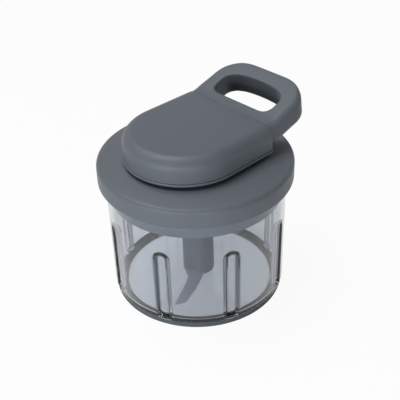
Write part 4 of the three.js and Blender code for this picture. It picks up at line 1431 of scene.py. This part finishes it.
@dataclass
class CordAndReel:
    """The cord's winding, its lead through the guide, its knot, and the sprung reel."""

    cord_radius: float = 0.8
    wind_radius: float = 20.1
    pitch: float = 2.05
    turns: float = 3.75
    turn_steps: int = 56
    height: float = CORD_HEIGHT
    bend_x: float = 24.4
    bend_run: float = 1.8
    end_gap: float = 0.3
    lead_end: float = 32.1
    lead_steps: int = 150
    blend_from: float = 26.2
    pull: float = 450
    knot_x: float = 34
    knot_size: float = 0.34
    knot_cord: float = 0.55
    knot_steps: int = 96
    sides: int = 14

    def ring(self, centre: Vector, along: Vector, radius: float) -> list[Vector]:
        """Points round the cord at one place of its middle line."""
        side = along.cross(Vector((0, 0, 1)))
        side = side.normalized() if side.length > WELD else Vector((0, 1, 0))
        up = side.cross(along).normalized()
        turns = [math.tau * i / self.sides for i in range(self.sides)]
        return [centre + (side * math.cos(t) + up * math.sin(t)) * radius for t in turns]

    def tube(self, path: Sequence[Vector], radius: float) -> Form:
        """A round cord along a path."""
        steps = zip(path[:1] + path[:-1], path, path[1:] + path[-1:])
        return skin([self.ring(place, (after - before).normalized(), radius)
                     for before, place, after in steps])

    def on_drum(self, turn: float, down: float = 0) -> Vector:
        """A place on the winding's middle line, by its angle and its depth below the first turn."""
        return Vector((self.wind_radius * math.cos(turn), self.wind_radius * math.sin(turn),
                       self.height - down))

    def leave(self) -> tuple[float, Vector]:
        """The angle at which the cord leaves the winding, and its direction there."""
        turn = math.acos(self.wind_radius / self.bend_x)
        return turn, Vector((math.sin(turn), -math.cos(turn), 0))

    def winding_path(self) -> list[Vector]:
        """Middle line of the winding, one layer down the drum."""
        begin, away = self.leave()
        steps = round(self.turn_steps * self.turns)
        path = [self.on_drum(begin) + away * (2 * self.cord_radius)]
        for i in range(steps + 1):
            done = self.turns * i / steps
            path.append(self.on_drum(begin + math.tau * done, self.pitch * done))
        last = begin + math.tau * self.turns
        path.append(path[-1] + Vector((-math.sin(last), math.cos(last), 0)) * (2 * self.cord_radius))
        return path

    def lead_path(self) -> list[Vector]:
        """Middle line of the lead, from the drum through the guide to the knot."""
        begin, away = self.leave()
        start = self.on_drum(begin) + away * (2 * self.cord_radius + self.end_gap)
        bend = Vector((self.bend_x, 0, self.height))
        turn_in, turn_out = bend - away * self.bend_run, bend + Vector((self.bend_run, 0, 0))
        end = Vector((self.lead_end, 0, self.height))
        path = bezier([start, turn_in], 12)[:-1] + bezier([turn_in, bend, turn_out], 12)
        return path + bezier([turn_out, end], self.lead_steps)[1:]

    def knot_path(self) -> list[Vector]:
        """Middle line of the knot, a trefoil."""
        path = []
        for i in range(self.knot_steps + 1):
            t = math.tau * i / self.knot_steps
            path.append(Vector((
                self.knot_x + self.knot_size * math.sin(3 * t),
                self.knot_size * (math.sin(t) + 2 * math.sin(2 * t)),
                self.height + self.knot_size * (math.cos(t) - 2 * math.cos(2 * t)),
            )))
        return path

    def lay(self, piece: bpy.types.Object, path: Sequence[Vector], stretched: bool) -> None:
        """Stores the length along the cord and the turn round it, which its braid follows.

        Args:
            piece: The cord's piece.
            path: Its middle line, in millimetres.
            stretched: Whether the length counts as it is with the handle pulled right out.
        """
        lengths = [0.0]
        for a, b in zip(path, path[1:]):
            run = (b - a).length
            if stretched and a.x > self.blend_from:
                blended = self.lead_end - self.blend_from
                share = (a.x - self.blend_from) / blended
                run += self.pull * 6 * share * (1 - share) * run / blended
            lengths.append(lengths[-1] + run)
        places = piece.data.attributes.new(CORD_LAY, "FLOAT_VECTOR", "POINT")
        rows, columns = piece.data.attributes["row"].data, piece.data.attributes["order"].data
        for place, row, column in zip(places.data, rows, columns):
            place.vector = (lengths[row.value], math.tau * column.value / self.sides, 0)

    def build(self, shop: Workshop) -> None:
        """Makes the cord, and dresses the reel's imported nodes."""
        look = shop.palette
        for name, node, body, path, radius in (
            ("braided_winding", "cord_winding", Body.REEL, self.winding_path(), self.cord_radius),
            ("braided_lead", "cord_lead", None, self.lead_path(), self.cord_radius),
            ("stopper_knot", "cord_knot", Body.HANDLE, self.knot_path(), self.knot_cord),
        ):
            made = shop.piece(name, self.tube(path, radius), look.cord, body, [node], crease=80)
            self.lay(made, path, body is None)
            if body is None:
                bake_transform(made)
        for node in ("reel_drum", "spring_cap", "drive_sleeve"):
            shop.keep(node, look.nylon)
        shop.keep("mainspring", look.steel)


# ---------------------------------------------------------------- studio


@dataclass
class Studio:
    """The floor, the light and the camera of the photograph."""

    floor_height: float = -2
    floor_size: float = 6
    floor_colour: Point = (244, 244, 244)
    floor_roughness: float = 0.9
    floor_specular: float = 0.1
    floor_glow: float = 0.94
    floor_through: float = 0.5
    world_level: float = 0.06
    world_sheen: float = 0.7
    distance: float = 0.54
    target: Point = (0, 0, 0.048)
    azimuth: float = -42.5
    elevation: float = 35.09
    roll: float = 1.93
    lens: float = 72.85
    sensor: float = 36
    shift: tuple[float, float] = (0.00735, 0.03325)
    lamps: tuple[tuple[str, Point, float, float], ...] = (
        ("overhead", (-0.2, 0.4, 1.5), 0.9, 16),
        ("left card", (-0.6, -0.14, 0.06), 0.26, 2.0),
        ("front card", (-0.3, -0.42, 0.04), 0.22, 0.8),
    )

    def floor(self) -> None:
        """A plain pale floor that shows white and keeps the object's shadow."""
        form = bmesh.new()
        bmesh.ops.create_grid(form, x_segments=1, y_segments=1, size=self.floor_size,
                              matrix=Matrix.Translation((0, 0, self.floor_height * MM)))
        plane = held(form, "studio_floor")
        surface = Surface("Pale floor", Base_Color=linear(self.floor_colour), Roughness=self.floor_roughness,
                          Specular_IOR_Level=self.floor_specular)
        rays = surface.node("LightPath").outputs
        seen = surface.math("MAXIMUM", rays["Is Camera Ray"], rays["Is Glossy Ray"])
        clear = surface.math("SUBTRACT", seen, rays["Is Transmission Ray"])
        share = surface.math("MULTIPLY", clear, self.floor_glow)
        through = surface.math("MULTIPLY", rays["Is Transmission Ray"], self.floor_through)
        surface.mix_shaders(surface.math("MAXIMUM", share, through), surface.shader,
                            surface.node("Emission"), surface.output)
        plane.data.materials.append(surface.material)

    def world(self) -> None:
        """White where it is seen, and a level light where it falls."""
        world = bpy.data.worlds.new("Studio")
        world.use_nodes = True
        bpy.context.scene.world = world
        graph = Graph(world.node_tree)
        white = linear((255, 255, 255))
        dim, bright = (graph.fill(graph.node("Background"), Color=white, Strength=strength)
                       for strength in (self.world_level, 1))
        rays = graph.node("LightPath").outputs
        seen = graph.math("MAXIMUM", rays["Is Camera Ray"], rays["Is Transmission Ray"])
        sheen = graph.math("MULTIPLY", rays["Is Glossy Ray"], self.world_sheen)
        graph.mix_shaders(graph.math("MAXIMUM", seen, sheen), dim, bright, graph.node("OutputWorld"))

    def lamp(self, name: str, place: Point, size: float, power: float) -> None:
        """A square area lamp turned towards the object, its place and side in metres, in watts."""
        data = bpy.data.lights.new(name, "AREA")
        data.size = size
        data.energy = power
        lamp = bpy.data.objects.new(name, data)
        lamp.location = place
        lamp.rotation_euler = (Vector(place) - Vector(self.target)).to_track_quat("Z", "Y").to_euler()
        bpy.context.scene.collection.objects.link(lamp)

    def camera(self) -> None:
        """The camera at the photograph's viewing angle."""
        data = bpy.data.cameras.new("photo_camera")
        data.lens = self.lens
        data.sensor_width = self.sensor
        data.shift_x, data.shift_y = self.shift
        camera = bpy.data.objects.new("photo_camera", data)
        a, e = math.radians(self.azimuth), math.radians(self.elevation)
        back = Vector((math.sin(a) * math.cos(e), -math.cos(a) * math.cos(e), math.sin(e)))
        level = back.to_track_quat("Z", "Y").to_matrix()
        facing = level @ Matrix.Rotation(math.radians(-self.roll), 3, "Z")
        camera.matrix_world = Matrix.Translation(Vector(self.target) + back * self.distance) @ facing.to_4x4()
        bpy.context.scene.collection.objects.link(camera)
        bpy.context.scene.camera = camera

    def build(self) -> None:
        """Sets up the studio."""
        bpy.context.scene.view_settings.view_transform = "Standard"
        self.camera()
        self.floor()
        self.world()
        for lamp in self.lamps:
            self.lamp(*lamp)


def main() -> None:
    """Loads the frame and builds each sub-assembly in order."""
    logging.basicConfig(level=logging.INFO, format="%(name)s %(message)s")
    for thing in list(bpy.data.objects):
        bpy.data.objects.remove(thing)
    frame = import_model()
    Studio().build()
    shop = Workshop(frame, Palette(Effects()))
    for assembly in (Bowl(), BladeColumn(), Lid(), Pod(), Handle(), CordAndReel()):
        assembly.build(shop)
        log.info("%s built, %d pieces so far", type(assembly).__name__, shop.pieces)


if __name__ == "__main__":
    main()
